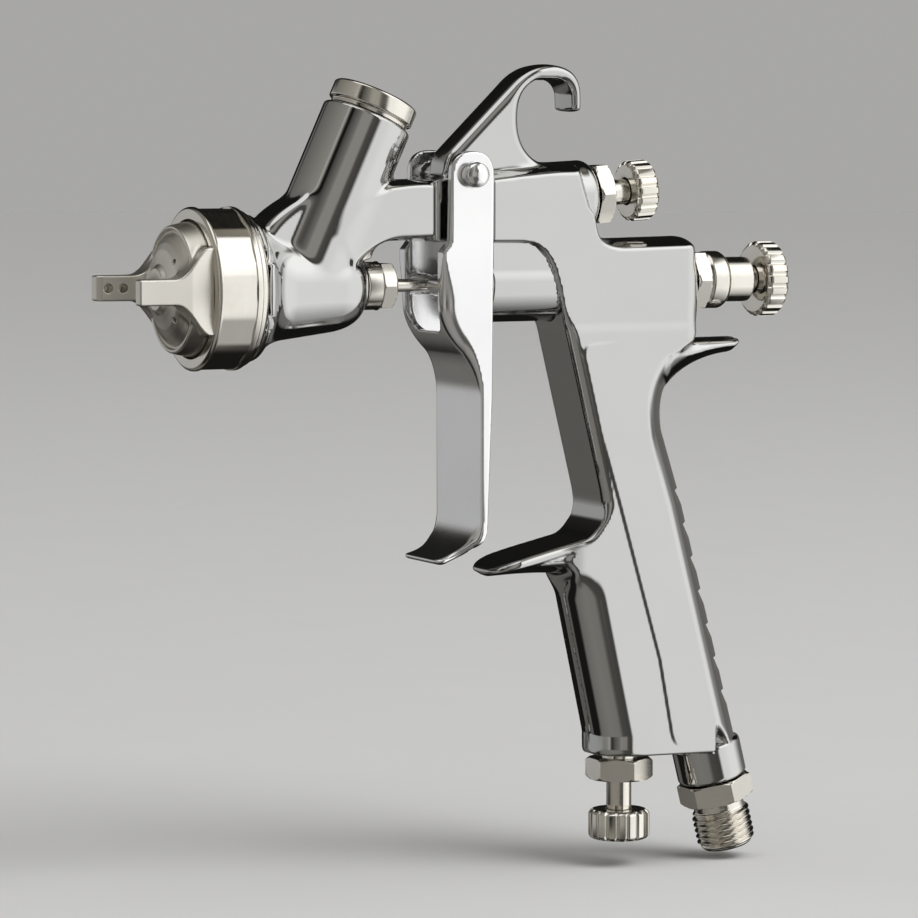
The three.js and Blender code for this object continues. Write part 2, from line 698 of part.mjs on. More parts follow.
function addPiece(name, body, look) {
  const mesh = body.simplify(SIMPLIFY).getMesh();
  const geometry = new THREE.BufferGeometry();
  const points = new Float32Array(mesh.numVert * 3);
  for (let i = 0; i < mesh.numVert; i += 1) {
    const start = i * mesh.numProp;
    points[3 * i] = mesh.vertProperties[start] - HOOK_X;
    points[3 * i + 1] = mesh.vertProperties[start + 1];
    points[3 * i + 2] = mesh.vertProperties[start + 2] - HOOK_Z;
  }
  geometry.setAttribute("position", new THREE.BufferAttribute(points, 3));
  geometry.setIndex(new THREE.BufferAttribute(new Uint32Array(mesh.triVerts), 1));
  geometry.computeVertexNormals();
  const piece = new THREE.Mesh(geometry, new THREE.MeshStandardMaterial(look));
  piece.name = name;
  gun.add(piece);
}

addPiece("gun_body", gunBody(), CHROME);
addPiece("air_cap", airCap(), STEEL);
addPiece("air_cap_ring", airCapRing(), STEEL);
addPiece("fluid_nozzle", fluidNozzle(), STEEL);
addPiece("air_baffle", airBaffle(), BRASS);
addPiece("cap_seal", capSeal(), WHITE_PLASTIC);
addPiece("fluid_needle", fluidNeedle(), STEEL);
addPiece("needle_packing", needlePacking(), WHITE_PLASTIC);
addPiece("packing_nut", packingNut(), STEEL);
addPiece("cup_joint", cupJoint(), STEEL);
addPiece("trigger", trigger(), STEEL);
addPiece("trigger_pin", triggerPin(), STEEL);
addPiece("trigger_screw", triggerScrew(), STEEL);
addPiece("air_valve_stem", airValveStem(), STEEL);
addPiece("air_valve_seat", airValveSeat(), BRASS);
addPiece("air_valve_seal", airValveSeal(), WHITE_PLASTIC);
addPiece("air_valve_spring", airValveSpring(), STEEL);
addPiece("spring_plate", springPlate(), BRASS);
addPiece("needle_chuck", needleChuck(), BRASS);
addPiece("needle_spring", needleSpring(), STEEL);
addPiece("fluid_guide", fluidGuide(), STEEL);
addPiece("fluid_screw", fluidScrew(), STEEL);
addPiece("fluid_knob", fluidKnob(), STEEL);
addPiece("pattern_nut", patternNut(), STEEL);
addPiece("pattern_stem", patternStem(), STEEL);
addPiece("pattern_knob", patternKnob(), STEEL);
addPiece("air_adjust_nut", bottomValveNut(), STEEL);
addPiece("air_adjust_stem", bottomValveStem(), STEEL);
addPiece("air_adjust_knob", bottomValveKnob(), STEEL);
addPiece("air_nipple", airNipple(), STEEL);

export default gun;
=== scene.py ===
"""Looks of the gravity-feed spray gun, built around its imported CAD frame.

The modelling code works in millimetres, with X = 0 at the trigger pivot, Z = 0 on the fluid
axis, Y = 0 in the mid-plane and the nozzle towards -X. Every mesh is moved to the row frame
and to metres when its object is made.
"""
import math
import bmesh
import bpy
import numpy as np
import openvdb
from mathutils import Matrix, Vector


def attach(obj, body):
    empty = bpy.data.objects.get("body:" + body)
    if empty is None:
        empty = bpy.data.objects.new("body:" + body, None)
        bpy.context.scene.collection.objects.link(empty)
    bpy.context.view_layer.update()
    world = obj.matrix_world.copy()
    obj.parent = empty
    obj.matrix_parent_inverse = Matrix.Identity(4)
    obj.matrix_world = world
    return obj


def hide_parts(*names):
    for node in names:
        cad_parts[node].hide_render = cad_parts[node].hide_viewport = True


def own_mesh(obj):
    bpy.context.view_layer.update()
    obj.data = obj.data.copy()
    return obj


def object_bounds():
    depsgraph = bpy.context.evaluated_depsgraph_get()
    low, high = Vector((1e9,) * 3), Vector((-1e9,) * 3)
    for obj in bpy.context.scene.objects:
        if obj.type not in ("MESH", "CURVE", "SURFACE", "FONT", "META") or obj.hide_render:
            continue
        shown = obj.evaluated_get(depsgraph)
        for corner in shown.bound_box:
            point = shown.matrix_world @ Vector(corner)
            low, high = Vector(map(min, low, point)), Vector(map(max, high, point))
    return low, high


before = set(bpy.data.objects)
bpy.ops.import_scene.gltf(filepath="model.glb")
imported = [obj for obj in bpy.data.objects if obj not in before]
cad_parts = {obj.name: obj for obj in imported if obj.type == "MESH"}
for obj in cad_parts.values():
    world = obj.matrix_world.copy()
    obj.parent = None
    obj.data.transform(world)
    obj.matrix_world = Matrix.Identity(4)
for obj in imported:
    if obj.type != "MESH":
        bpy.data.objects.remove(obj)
cad_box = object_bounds()

# ---- driving dimensions (mm)
MM = 1000.0           # millimetres in a metre
HOOK = np.array([21.4, 0.0, 44.4])   # the row frame's origin, in the working frame
HALF = 9.0            # half thickness of the cast body
BODY_EDGE = 0.75      # rounding of its edges
BRIDGE_HALF = 8.9
NECK_HALF = 6.8
HOOK_HALF = 5.2
GUARD_HALF = 8.5
VALVE_SIDE_HALF = 7.9
FRONT_ROUND = 7.2     # rounding of the lower front of the grip
TOP_CROWN = 2.0       # how far the edges fall away on top, at the back and under the guard
BACK_CROWN = 6.3
GUARD_CROWN = 3.0
PANEL_RAISE = 0.17    # the plain panel on the grip's sides
BAND_Z, BAND_HEIGHT, BAND_DEPTH = -7.8, 2.6, 0.45   # shallow band along the valve block
TOOTH_TOP, TOOTH_PITCH, TOOTH_COUNT, TOOTH_DEPTH = -46.4, 7.6, 7, 0.75   # back of the grip
TOOTH_HALF = 5.2      # half width of the teeth
PIVOT_Z = 24.0
PIVOT_BORE_R = 2.4
ARM_IN = 9.9
ARM_OUT = 11.9
PAD_X, PAD_R = -4.2, 2.4   # the trigger's pads that push the air valve
INLET_X = -36.3
INLET_LEAN = math.radians(24.6)
INLET_R = 9.9
INLET_TOP = 39.9
GRIP_LEAN = math.radians(14)
PATTERN_TILT = math.radians(4)
PATTERN_AT = (33.0, 19.2)
BOSS_R = 7.8          # pattern adjuster and air inlet bosses
BOTTOM_VALVE_X = 41.6
NIPPLE_AT = (65.4, -112.7)
THREAD_PITCH, THREAD_ROOT_R, THREAD_DEPTH = 1.34, 5.72, 0.86
HORN_HALF = 2.75
HORN_HOLES_X, HORN_HOLE_R = (-75.4, -72.2), 0.95
CAP_HOLES_TURN, CAP_HOLES_CIRCLE, CAP_HOLE_R = (45, 135, 225, 315), 8.7, 0.55

# numbers of the modelling method (mm, except FAR)
FAR = 1e3             # more than any distance in the model
OUTSIDE = 8.0         # value of the grid away from every shape
MARGIN = 2.5          # reach of a shape's distance beyond its box

# directions of the turned parts' axes, as angles up from +X in the XZ plane
ALONG = 0.0
INLET_AIM = math.pi / 2 - INLET_LEAN
NIPPLE_AIM = -math.pi / 2 + GRIP_LEAN
DOWN = -math.pi / 2


# ---- outlines and plans
def outline(start, *steps, curve_points=14):
    """Points of a closed outline. A step is (x, z) for a line, or (cx, cz, x, z) for a curve."""
    points = [start]
    for step in steps:
        x0, z0 = points[-1]
        if len(step) == 2:
            points.append(step)
            continue
        cx, cz, x1, z1 = step
        for i in range(1, curve_points + 1):
            t = i / curve_points
            a, b, c = (1 - t) ** 2, 2 * t * (1 - t), t * t
            points.append((a * x0 + b * cx + c * x1, a * z0 + b * cz + c * z1))
    return np.array(points, float)


def mirrored(points):
    """A half profile of (x, radius) points closed over its own axis."""
    upper = np.array(points, float)
    return np.concatenate([upper, upper[::-1] * [1, -1]])


def polygon_distance(x, z, points):
    """Signed distance to a closed polygon, negative inside."""
    nearest = np.full(np.broadcast(x, z).shape, FAR ** 2)
    inside = np.zeros(nearest.shape, bool)
    for (ax, az), (bx, bz) in zip(points, np.roll(points, -1, axis=0)):
        ex, ez = bx - ax, bz - az
        length2 = ex * ex + ez * ez
        if length2 < 1e-12:
            continue
        wx, wz = x - ax, z - az
        t = np.clip((wx * ex + wz * ez) / length2, 0, 1)
        nearest = np.minimum(nearest, (wx - t * ex) ** 2 + (wz - t * ez) ** 2)
        crosses = ((az > z) != (bz > z)) & (wx * abs(ez) < wz * ex * np.sign(ez))
        inside ^= crosses
    return np.where(inside, -1, 1) * np.sqrt(nearest)


class Plan:
    """Signed distance to an outline, kept on a fine grid and read with cubic weights."""

    STEP = 0.25

    def __init__(self, points, blur=0.3, margin=9.0):
        points = np.asarray(points, float)
        self.low = points.min(0) - margin
        count = np.ceil((points.max(0) + margin - self.low) / self.STEP).astype(int) + 1
        x = self.low[0] + self.STEP * np.arange(count[0])[:, None]
        z = self.low[1] + self.STEP * np.arange(count[1])[None, :]
        self.table = self.smooth(polygon_distance(x, z, points), blur)

    def smooth(self, table, blur):
        reach = int(math.ceil(3 * blur / self.STEP))
        weights = np.exp(-0.5 * (np.arange(-reach, reach + 1) * self.STEP / blur) ** 2)
        weights /= weights.sum()
        for axis in (0, 1):
            width = [(reach, reach) if a == axis else (0, 0) for a in (0, 1)]
            padded = np.pad(table, width, mode="edge")
            size = table.shape[axis]
            table = sum(
                w * padded.take(range(i, i + size), axis=axis) for i, w in enumerate(weights)
            )
        return table

    def merge(self, other, blend):
        """This plan with another one joined to it, the inner corners filled."""
        made = Plan.__new__(Plan)
        made.low = np.minimum(self.low, other.low)
        ends = [p.low + (np.array(p.table.shape) - 1) * self.STEP for p in (self, other)]
        count = np.rint((np.maximum(*ends) - made.low) / self.STEP).astype(int) + 1
        x = made.low[0] + self.STEP * np.arange(count[0])[:, None]
        z = made.low[1] + self.STEP * np.arange(count[1])[None, :]
        made.table = joined(self.at(x, z), other.at(x, z), blend)
        return made

    def at(self, x, z):
        shape = np.broadcast(x, z).shape
        u = np.broadcast_to((x - self.low[0]) / self.STEP, shape)
        v = np.broadcast_to((z - self.low[1]) / self.STEP, shape)
        top_u, top_v = self.table.shape
        over = np.hypot(u - np.clip(u, 1, top_u - 3), v - np.clip(v, 1, top_v - 3))
        u, v = np.clip(u, 1, top_u - 3), np.clip(v, 1, top_v - 3)
        iu, iv = u.astype(int), v.astype(int)
        wu, wv = cubic_weights(u - iu), cubic_weights(v - iv)
        total = np.zeros(shape)
        for i in range(4):
            row = np.zeros(shape)
            for j in range(4):
                row += wv[j] * self.table[iu + i - 1, iv + j - 1]
            total += wu[i] * row
        return total + over * self.STEP


def cubic_weights(t):
    """Catmull-Rom weights of the four samples round a point."""
    return (
        ((-0.5 * t + 1.0) * t - 0.5) * t,
        (1.5 * t - 2.5) * t * t + 1.0,
        ((-1.5 * t + 2.0) * t + 0.5) * t,
        (0.5 * t - 0.5) * t * t,
    )


# ---- distances
def joined(a, b, blend):
    """Union of two distances, with a fillet about as large as blend."""
    if blend <= 0:
        return np.minimum(a, b)
    h = np.maximum(blend - np.abs(a - b), 0) / blend
    return np.minimum(a, b) - h ** 3 * blend / 6


def without(a, b, blend):
    """Distance a with the tool b cut out of it."""
    return -joined(-a, b, blend)


def edged(a, b, edge):
    """Intersection of two distances, its edge rounded with radius edge."""
    u, v = np.maximum(a + edge, 0), np.maximum(b + edge, 0)
    return np.minimum(np.maximum(a, b) + edge, 0) + np.hypot(u, v) - edge


def ramp(value, start, end):
    """0 before start, 1 after end, smooth between."""
    t = np.clip((value - start) / (end - start), 0, 1)
    return t * t * (3 - 2 * t)


def on_axis(x, y, z, aim, at):
    """Distance along and away from an axis in the mid-plane."""
    dx, dz = x - at[0], z - at[1]
    along = dx * math.cos(aim) + dz * math.sin(aim)
    across = dz * math.cos(aim) - dx * math.sin(aim)
    return along, np.hypot(across, y)


def bar(start, end, radius, edge=0.3, aim=ALONG, at=(0.0, 0.0)):
    """A round bar along an axis in the mid-plane."""
    def distance(x, y, z):
        along, away = on_axis(x, y, z, aim, at)
        return edged(np.abs(along - (start + end) / 2) - (end - start) / 2, away - radius, edge)
    ends = [(at[0] + t * math.cos(aim), at[1] + t * math.sin(aim)) for t in (start, end)]
    xs, zs = [e[0] for e in ends], [e[1] for e in ends]
    box = (min(xs) - radius, max(xs) + radius, -radius, radius,
           min(zs) - radius, max(zs) + radius)
    return distance, box


def cross_bar(x0, z0, radius, half, edge=0.2):
    """A round bar along Y."""
    def distance(x, y, z):
        return edged(np.abs(y) - half, np.hypot(x - x0, z - z0) - radius, edge)
    return distance, (x0 - radius, x0 + radius, -half, half, z0 - radius, z0 + radius)


def revolved(profile):
    """A body of revolution about the fluid axis, from a half profile of (x, radius) points."""
    plan = Plan(mirrored(profile), 0.25)
    radius = max(r for _, r in profile)
    xs = [x for x, _ in profile]

    def distance(x, y, z):
        return plan.at(x, np.hypot(z, y))
    return distance, (min(xs) - radius, max(xs) + radius, -radius, radius, -radius, radius)


def slab(plan, x0, x1, z0, z1, half, edge, crown=0.0):
    """A plate from a plan. edge is a number or a function of x and z."""
    def distance(x, y, z):
        rounding = edge(x, z) if callable(edge) else edge
        return edged(plan.at(x, z) + crown * (y / HALF) ** 2, np.abs(y) - half, rounding)
    return distance, (x0, x1, -half, half, z0, z1)


class Sculpt:
    """A solid made by joining and cutting distances in turn."""

    def __init__(self):
        self.steps = []

    def add(self, shape, blend=0.0):
        self.steps.append((joined, *shape, blend))

    def cut(self, shape, blend=0.0):
        self.steps.append((without, *shape, blend))

    def on_grid(self, x, y, z):
        values = np.full((len(x), len(y), len(z)), OUTSIDE)
        for combine, distance, box, blend in self.steps:
            reach = blend + MARGIN
            part = []
            for line, low, high in ((x, box[0], box[1]), (y, box[2], box[3]), (z, box[4], box[5])):
                part.append(slice(*np.searchsorted(line, [low - reach, high + reach])))
            part = tuple(part)
            if min(s.stop - s.start for s in part) < 1:
                continue
            d = distance(x[part[0], None, None], y[None, part[1], None], z[None, None, part[2]])
            values[part] = combine(values[part], d, blend)
        return values

    def at_points(self, p):
        values = np.full(len(p), OUTSIDE)
        for combine, distance, box, blend in self.steps:
            reach = blend + MARGIN
            near = np.ones(len(p), bool)
            for axis in range(3):
                near &= p[:, axis] > box[2 * axis] - reach
                near &= p[:, axis] < box[2 * axis + 1] + reach
            if near.any():
                q = p[near]
                d = distance(q[:, 0], q[:, 1], q[:, 2])
                values[near] = combine(values[near], d, blend)
        return values

    def slope(self, p, h=0.06):
        """Value and gradient from four samples round each point."""
        corners = np.array([[1, 1, 1], [1, -1, -1], [-1, 1, -1], [-1, -1, 1]], float)
        samples = [self.at_points(p + h * c) for c in corners]
        value = sum(samples) / 4
        gradient = sum(s[:, None] * c for s, c in zip(samples, corners)) / (4 * h)
        return value, gradient

    def mesh(self, box, step):
        """Points, faces and outward normals of the surface."""
        lines = [np.arange(box[2 * a] - 2 * step, box[2 * a + 1] + 3 * step, step) for a in range(3)]
        values = self.on_grid(*lines).astype(np.float32)
        grid = openvdb.FloatGrid(OUTSIDE)
        grid.copyFromArray(values)
        points, quads = grid.convertToQuads(0.0)
        points = points.astype(float) * step + [line[0] for line in lines]
        # move the points onto the surface itself
        for _ in range(3):
            value, gradient = self.slope(points)
            size2 = np.maximum((gradient ** 2).sum(1), 0.05)
            move = gradient * (value / size2)[:, None]
            length = np.linalg.norm(move, axis=1)
            limit = np.minimum(1, 0.6 * step / np.maximum(length, 1e-9))
            points -= move * limit[:, None]
        gradient = self.slope(points)[1]
        normals = gradient / np.maximum(np.linalg.norm(gradient, axis=1), 1e-9)[:, None]
        return points, quads.tolist(), normals


# ---- objects
def ready(piece, body, nodes):
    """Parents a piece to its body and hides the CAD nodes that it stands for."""
    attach(piece, body)
    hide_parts(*nodes)
    return piece


def placed(name, data):
    """A new object in the scene."""
    piece = bpy.data.objects.new(name, data)
    bpy.context.scene.collection.objects.link(piece)
    return piece


def sculpted(name, sculpt, box, step, material):
    """An object from a Sculpt, in the row frame."""
    points, faces, normals = sculpt.mesh(box, step)
    mesh = bpy.data.meshes.new(name)
    mesh.from_pydata(((points - HOOK) / MM).tolist(), [], faces)
    mesh.validate()
    mesh.shade_smooth()
    mesh.normals_split_custom_set_from_vertices(normals.tolist())
    mesh.materials.append(material)
    return placed(name, mesh)


def eased(profile):
    """A closed profile of (along, radius[, ease]) points with its corners rounded."""
    default, arc_points = 0.25, 3
    made = []
    count = len(profile)
    for i, corner in enumerate(profile):
        here = np.array(corner[:2], float)
        ease = corner[2] if len(corner) > 2 else default
        before = np.array(profile[i - 1][:2], float) - here
        after = np.array(profile[(i + 1) % count][:2], float) - here
        lengths = np.linalg.norm(before), np.linalg.norm(after)
        if here[1] <= 1e-6 or ease <= 0 or min(lengths) < 1e-6:
            made.append(tuple(here))
            continue
        ease = min(ease, 0.45 * lengths[0], 0.45 * lengths[1])
        p0 = here + before / lengths[0] * ease
        p1 = here + after / lengths[1] * ease
        for k in range(arc_points + 1):
            t = k / arc_points
            made.append(tuple((1 - t) ** 2 * p0 + 2 * t * (1 - t) * here + t * t * p1))
    return made


def turned(name, profile, material, aim=ALONG, at=(0.0, 0.0), segments=96, radius=None):
    """A lathe-turned object. radius(along, radius, turn) may change the section round the turn."""
    mesh = bpy.data.meshes.new(name)
    shape = bmesh.new()
    rings = []
    for along, away in eased(profile):
        if away <= 1e-6:
            rings.append([shape.verts.new((along / MM, 0, 0))])
            continue
        ring = []
        for j in range(segments):
            turn = 2 * math.pi * j / segments
            r = radius(along, away, turn) if radius else away
            ring.append(shape.verts.new(
                (along / MM, r * math.cos(turn) / MM, r * math.sin(turn) / MM)))
        rings.append(ring)
    for i, ring in enumerate(rings):
        following = rings[(i + 1) % len(rings)]
        for j in range(segments):
            k = (j + 1) % segments
            if len(ring) == 1 and len(following) == 1:
                break
            if len(ring) == 1:
                shape.faces.new((ring[0], following[j], following[k]))
            elif len(following) == 1:
                shape.faces.new((ring[j], following[0], ring[k]))
            else:
                shape.faces.new((ring[j], following[j], following[k], ring[k]))
    bmesh.ops.recalc_face_normals(shape, faces=shape.faces)
    shape.to_mesh(mesh)
    shape.free()
    mesh.shade_smooth()
    mesh.set_sharp_from_angle(angle=math.radians(32))
    mesh.materials.append(material)
    piece = placed(name, mesh)
    place = Matrix.Translation(Vector(((at[0] - HOOK[0]) / MM, 0, (at[1] - HOOK[2]) / MM)))
    piece.matrix_world = place @ Matrix.Rotation(-aim, 4, "Y")
    return piece


def hexagonal(across_flats, start, end):
    """Radius function that turns the stretch from start to end into a hexagon."""
    def radius(along, away, turn):
        if not start <= along <= end:
            return away
        part = turn % (math.pi / 3) - math.pi / 6
        return min(away, across_flats / 2 / math.cos(part))
    return radius


def fluted(count, depth, start, end, least, share):
    """Radius function that cuts rounded flutes along the rim of a knob."""
    def radius(along, away, turn):
        if not (start <= along <= end and away > least):
            return away
        phase = (turn * count / (2 * math.pi)) % 1.0
        from_groove = abs(phase - 0.5) / (share / 2)
        if from_groove >= 1:
            return away
        return away - depth * math.sqrt(1 - from_groove ** 2)
    return radius


# ---- materials
def new_material(name, metallic=0.0):
    """A material with its nodes, links, shader and the coordinates of its object."""
    material = bpy.data.materials.new(name)
    material.use_nodes = True
    nodes = material.node_tree.nodes
    shader = nodes["Principled BSDF"]
    shader.inputs["Metallic"].default_value = metallic
    place = nodes.new("ShaderNodeTexCoord").outputs["Object"]
    return material, nodes, material.node_tree.links, shader, place


def noise(nodes, links, vector, scale, detail, roughness=0.5):
    node = nodes.new("ShaderNodeTexNoise")
    node.inputs["Scale"].default_value = scale
    node.inputs["Detail"].default_value = detail
    node.inputs["Roughness"].default_value = roughness
    links.new(vector, node.inputs["Vector"])
    return node.outputs["Fac"]


def stretched(nodes, links, vector, scale):
    node = nodes.new("ShaderNodeMapping")
    node.inputs["Scale"].default_value = scale
    links.new(vector, node.inputs["Vector"])
    return node.outputs["Vector"]


def between(nodes, links, value, low, high, start=0.3, end=0.7):
    """Maps a noise value to a range."""
    node = nodes.new("ShaderNodeMapRange")
    node.inputs["From Min"].default_value = start
    node.inputs["From Max"].default_value = end
    node.inputs["To Min"].default_value = low
    node.inputs["To Max"].default_value = high
    links.new(value, node.inputs["Value"])
    return node.outputs["Result"]


def math_node(nodes, links, operation, *values):
    node = nodes.new("ShaderNodeMath")
    node.operation = operation
    for socket, value in zip(node.inputs, values):
        if isinstance(value, (int, float)):
            socket.default_value = value
        else:
            links.new(value, socket)
    return node.outputs[0]


def mixed(nodes, links, factor, *colours):
    """The first colour where factor is 0 and the second where it is 1."""
    node = nodes.new("ShaderNodeMix")
    node.data_type = "RGBA"
    links.new(factor, node.inputs["Factor"])
    for name, colour in zip("AB", colours):
        if isinstance(colour, tuple):
            node.inputs[name].default_value = (*colour, 1)
        else:
            links.new(colour, node.inputs[name])
    return node.outputs["Result"]


def bumped(nodes, links, height, strength, distance, under=None):
    node = nodes.new("ShaderNodeBump")
    node.inputs["Strength"].default_value = strength
    node.inputs["Distance"].default_value = distance
    links.new(height, node.inputs["Height"])
    if under is not None:
        links.new(under, node.inputs["Normal"])
    return node.outputs["Normal"]


def polished_metal(name, light, dark, rough, waviness):
    """Polished plating: faint casting waves, hairline scratches and a slightly uneven shine."""
    material, nodes, links, shader, place = new_material(name, 1.0)
    clouds = noise(nodes, links, place, 60, 4)
    hair = noise(nodes, links, stretched(nodes, links, place, (3000, 900, 240)), 1.0, 2, 0.6)
    links.new(mixed(nodes, links, clouds, light, dark), shader.inputs["Base Color"])
    shine = math_node(nodes, links, "ADD", between(nodes, links, clouds, *rough),
                      between(nodes, links, hair, 0.0, 0.05, 0.55, 0.75))
    links.new(shine, shader.inputs["Roughness"])
    waves = bumped(nodes, links, noise(nodes, links, place, 45, 1), waviness, 0.0004)
    grain = bumped(nodes, links, hair, 0.01, 0.00002, waves)
    links.new(grain, shader.inputs["Normal"])
    return material


def machined_metal(name, light, dark, rough):
    """Turned steel: fine lathe lines along the part's own axis, with a warm uneven tint."""
    material, nodes, links, shader, place = new_material(name, 1.0)
    lines = noise(nodes, links, stretched(nodes, links, place, (9000, 60, 60)), 1.0, 3, 0.7)
    clouds = noise(nodes, links, place, 160, 4, 0.6)
    links.new(mixed(nodes, links, clouds, light, dark), shader.inputs["Base Color"])
    shine = math_node(nodes, links, "MULTIPLY", between(nodes, links, lines, *rough),
                      between(nodes, links, clouds, 0.85, 1.2))
    links.new(shine, shader.inputs["Roughness"])
    links.new(bumped(nodes, links, lines, 0.10, 0.00002), shader.inputs["Normal"])
    return material


def soft_plastic(name, light, dark, rough):
    """Pale sealing plastic with a fine grain."""
    material, nodes, links, shader, place = new_material(name)
    grain = noise(nodes, links, place, 900, 4)
    links.new(mixed(nodes, links, grain, light, dark), shader.inputs["Base Color"])
    links.new(between(nodes, links, grain, *rough), shader.inputs["Roughness"])
    links.new(bumped(nodes, links, grain, 0.15, 0.00004), shader.inputs["Normal"])
    return material


chrome = polished_metal("chrome", (0.62, 0.62, 0.61), (0.585, 0.585, 0.57), (0.055, 0.10), 0.05)
steel = machined_metal("turned_steel", (0.90, 0.87, 0.81), (0.80, 0.765, 0.69), (0.10, 0.20))
cap_steel = polished_metal("cap_steel", (0.95, 0.92, 0.855), (0.86, 0.825, 0.745),
                           (0.30, 0.40), 0.05)
# painted light: the body's polished plating with its base made near white, so that the trigger and
# its pin show brighter light than the body; only the rougher shine is their own
trigger_steel = polished_metal("trigger_steel", (0.99, 0.99, 0.99), (0.94, 0.94, 0.95),
                               (0.14, 0.20), 0.025)
spring_wire = machined_metal("spring_wire", (0.60, 0.59, 0.56), (0.45, 0.44, 0.42), (0.25, 0.4))
brass = machined_metal("turned_brass", (0.80, 0.62, 0.32), (0.62, 0.46, 0.22), (0.2, 0.35))
white_seal = soft_plastic("white_seal", (0.82, 0.81, 0.77), (0.74, 0.73, 0.69), (0.4, 0.55))


# ---- cast body
def front_barrel():
    profile = outline(
        (-56, 13.6), (-49, 13.6), (-49, 15.7), (-47.8, 15.8), (-45.4, 12.2, -41, 11.4),
        (-28.6, 9.8), (-23.6, 8.9, -22.2, 6.2), (-21.9, 0.2))
    return revolved(profile)


def neck():
    plan = Plan(outline((-46.4, 12), (-44.4, 15.6, -38.4, 18.9), (-34, 22), (-18, 24),
                        (-21, 6), (-44, 4)))
    return slab(plan, -47, -17, 3, 25, NECK_HALF, 2.4)


def bridge():
    plan = Plan(outline((-27, 3), (-21, 9.6, -15, 9.7), (-4, 9.9), (-4, 22.9), (-9, 23),
                        (-13, 23.1, -18, 22.4), (-26, 19), (-32, 12)))
    return slab(plan, -31, -3, 3, 29, BRIDGE_HALF, 0.9, 1.0)


def upper_block_plan():
    return Plan(outline(
        (-8, 9.6), (-8, 22.8), (8, 25.4, 22, 26.3), (28.6, 26.4), (31, 18, 33.2, 11.8),
        (34.4, 9.6, 38, 9.6), (54.6, 9.9), (57.7, 9.8, 57.8, 6.6), (57.8, -6.4),
        (57.7, -9.2, 55, -9.2), (24.6, -9.2), (21.6, 1), (19.6, 9.4, 12.6, 9.4)))


def grip_plan():
    return Plan(outline(
        (22.6, -2), (33.2, -46), (34.4, -52.5), (28, -58.5, 26.5, -66), (33.2, -97),
        (34, -100, 34, -105.2), (61.4, -105.5), (63.3, -112.8), (71.9, -110.7), (55.7, -48),
        (51, -33), (49.2, -22.5, 57, -18.2), (57, -8), (40, -1)))


def thumb_horn_plan():
    return Plan(outline(
        (50, -8), (54, -12.6, 58, -12.9), (69.4, -12.8), (71, -13.6, 68.6, -16.2),
        (58, -17.2, 52, -23.5), (44, -24), (44, -10)))


def finger_guard_plan():
    return Plan(outline(
        (35, -46.5), (34.3, -55.2, 28.5, -56.5), (15.4, -59.2, 9.8, -61.2),
        (5.6, -62.8, 8.4, -64.3), (20, -63.6, 25.6, -64.4), (28, -66, 30, -74), (38, -60)))


def panel_plan():
    return Plan(outline(
        (28.2, -16), (27.9, -13.6, 30.6, -13.3), (62, -11), (80, -103.7), (53, -103.7),
        (50.6, -103.6, 50, -99.7), (47.1, -83.9), (37.1, -49), (32.1, -32.2)), 0.25, 4)


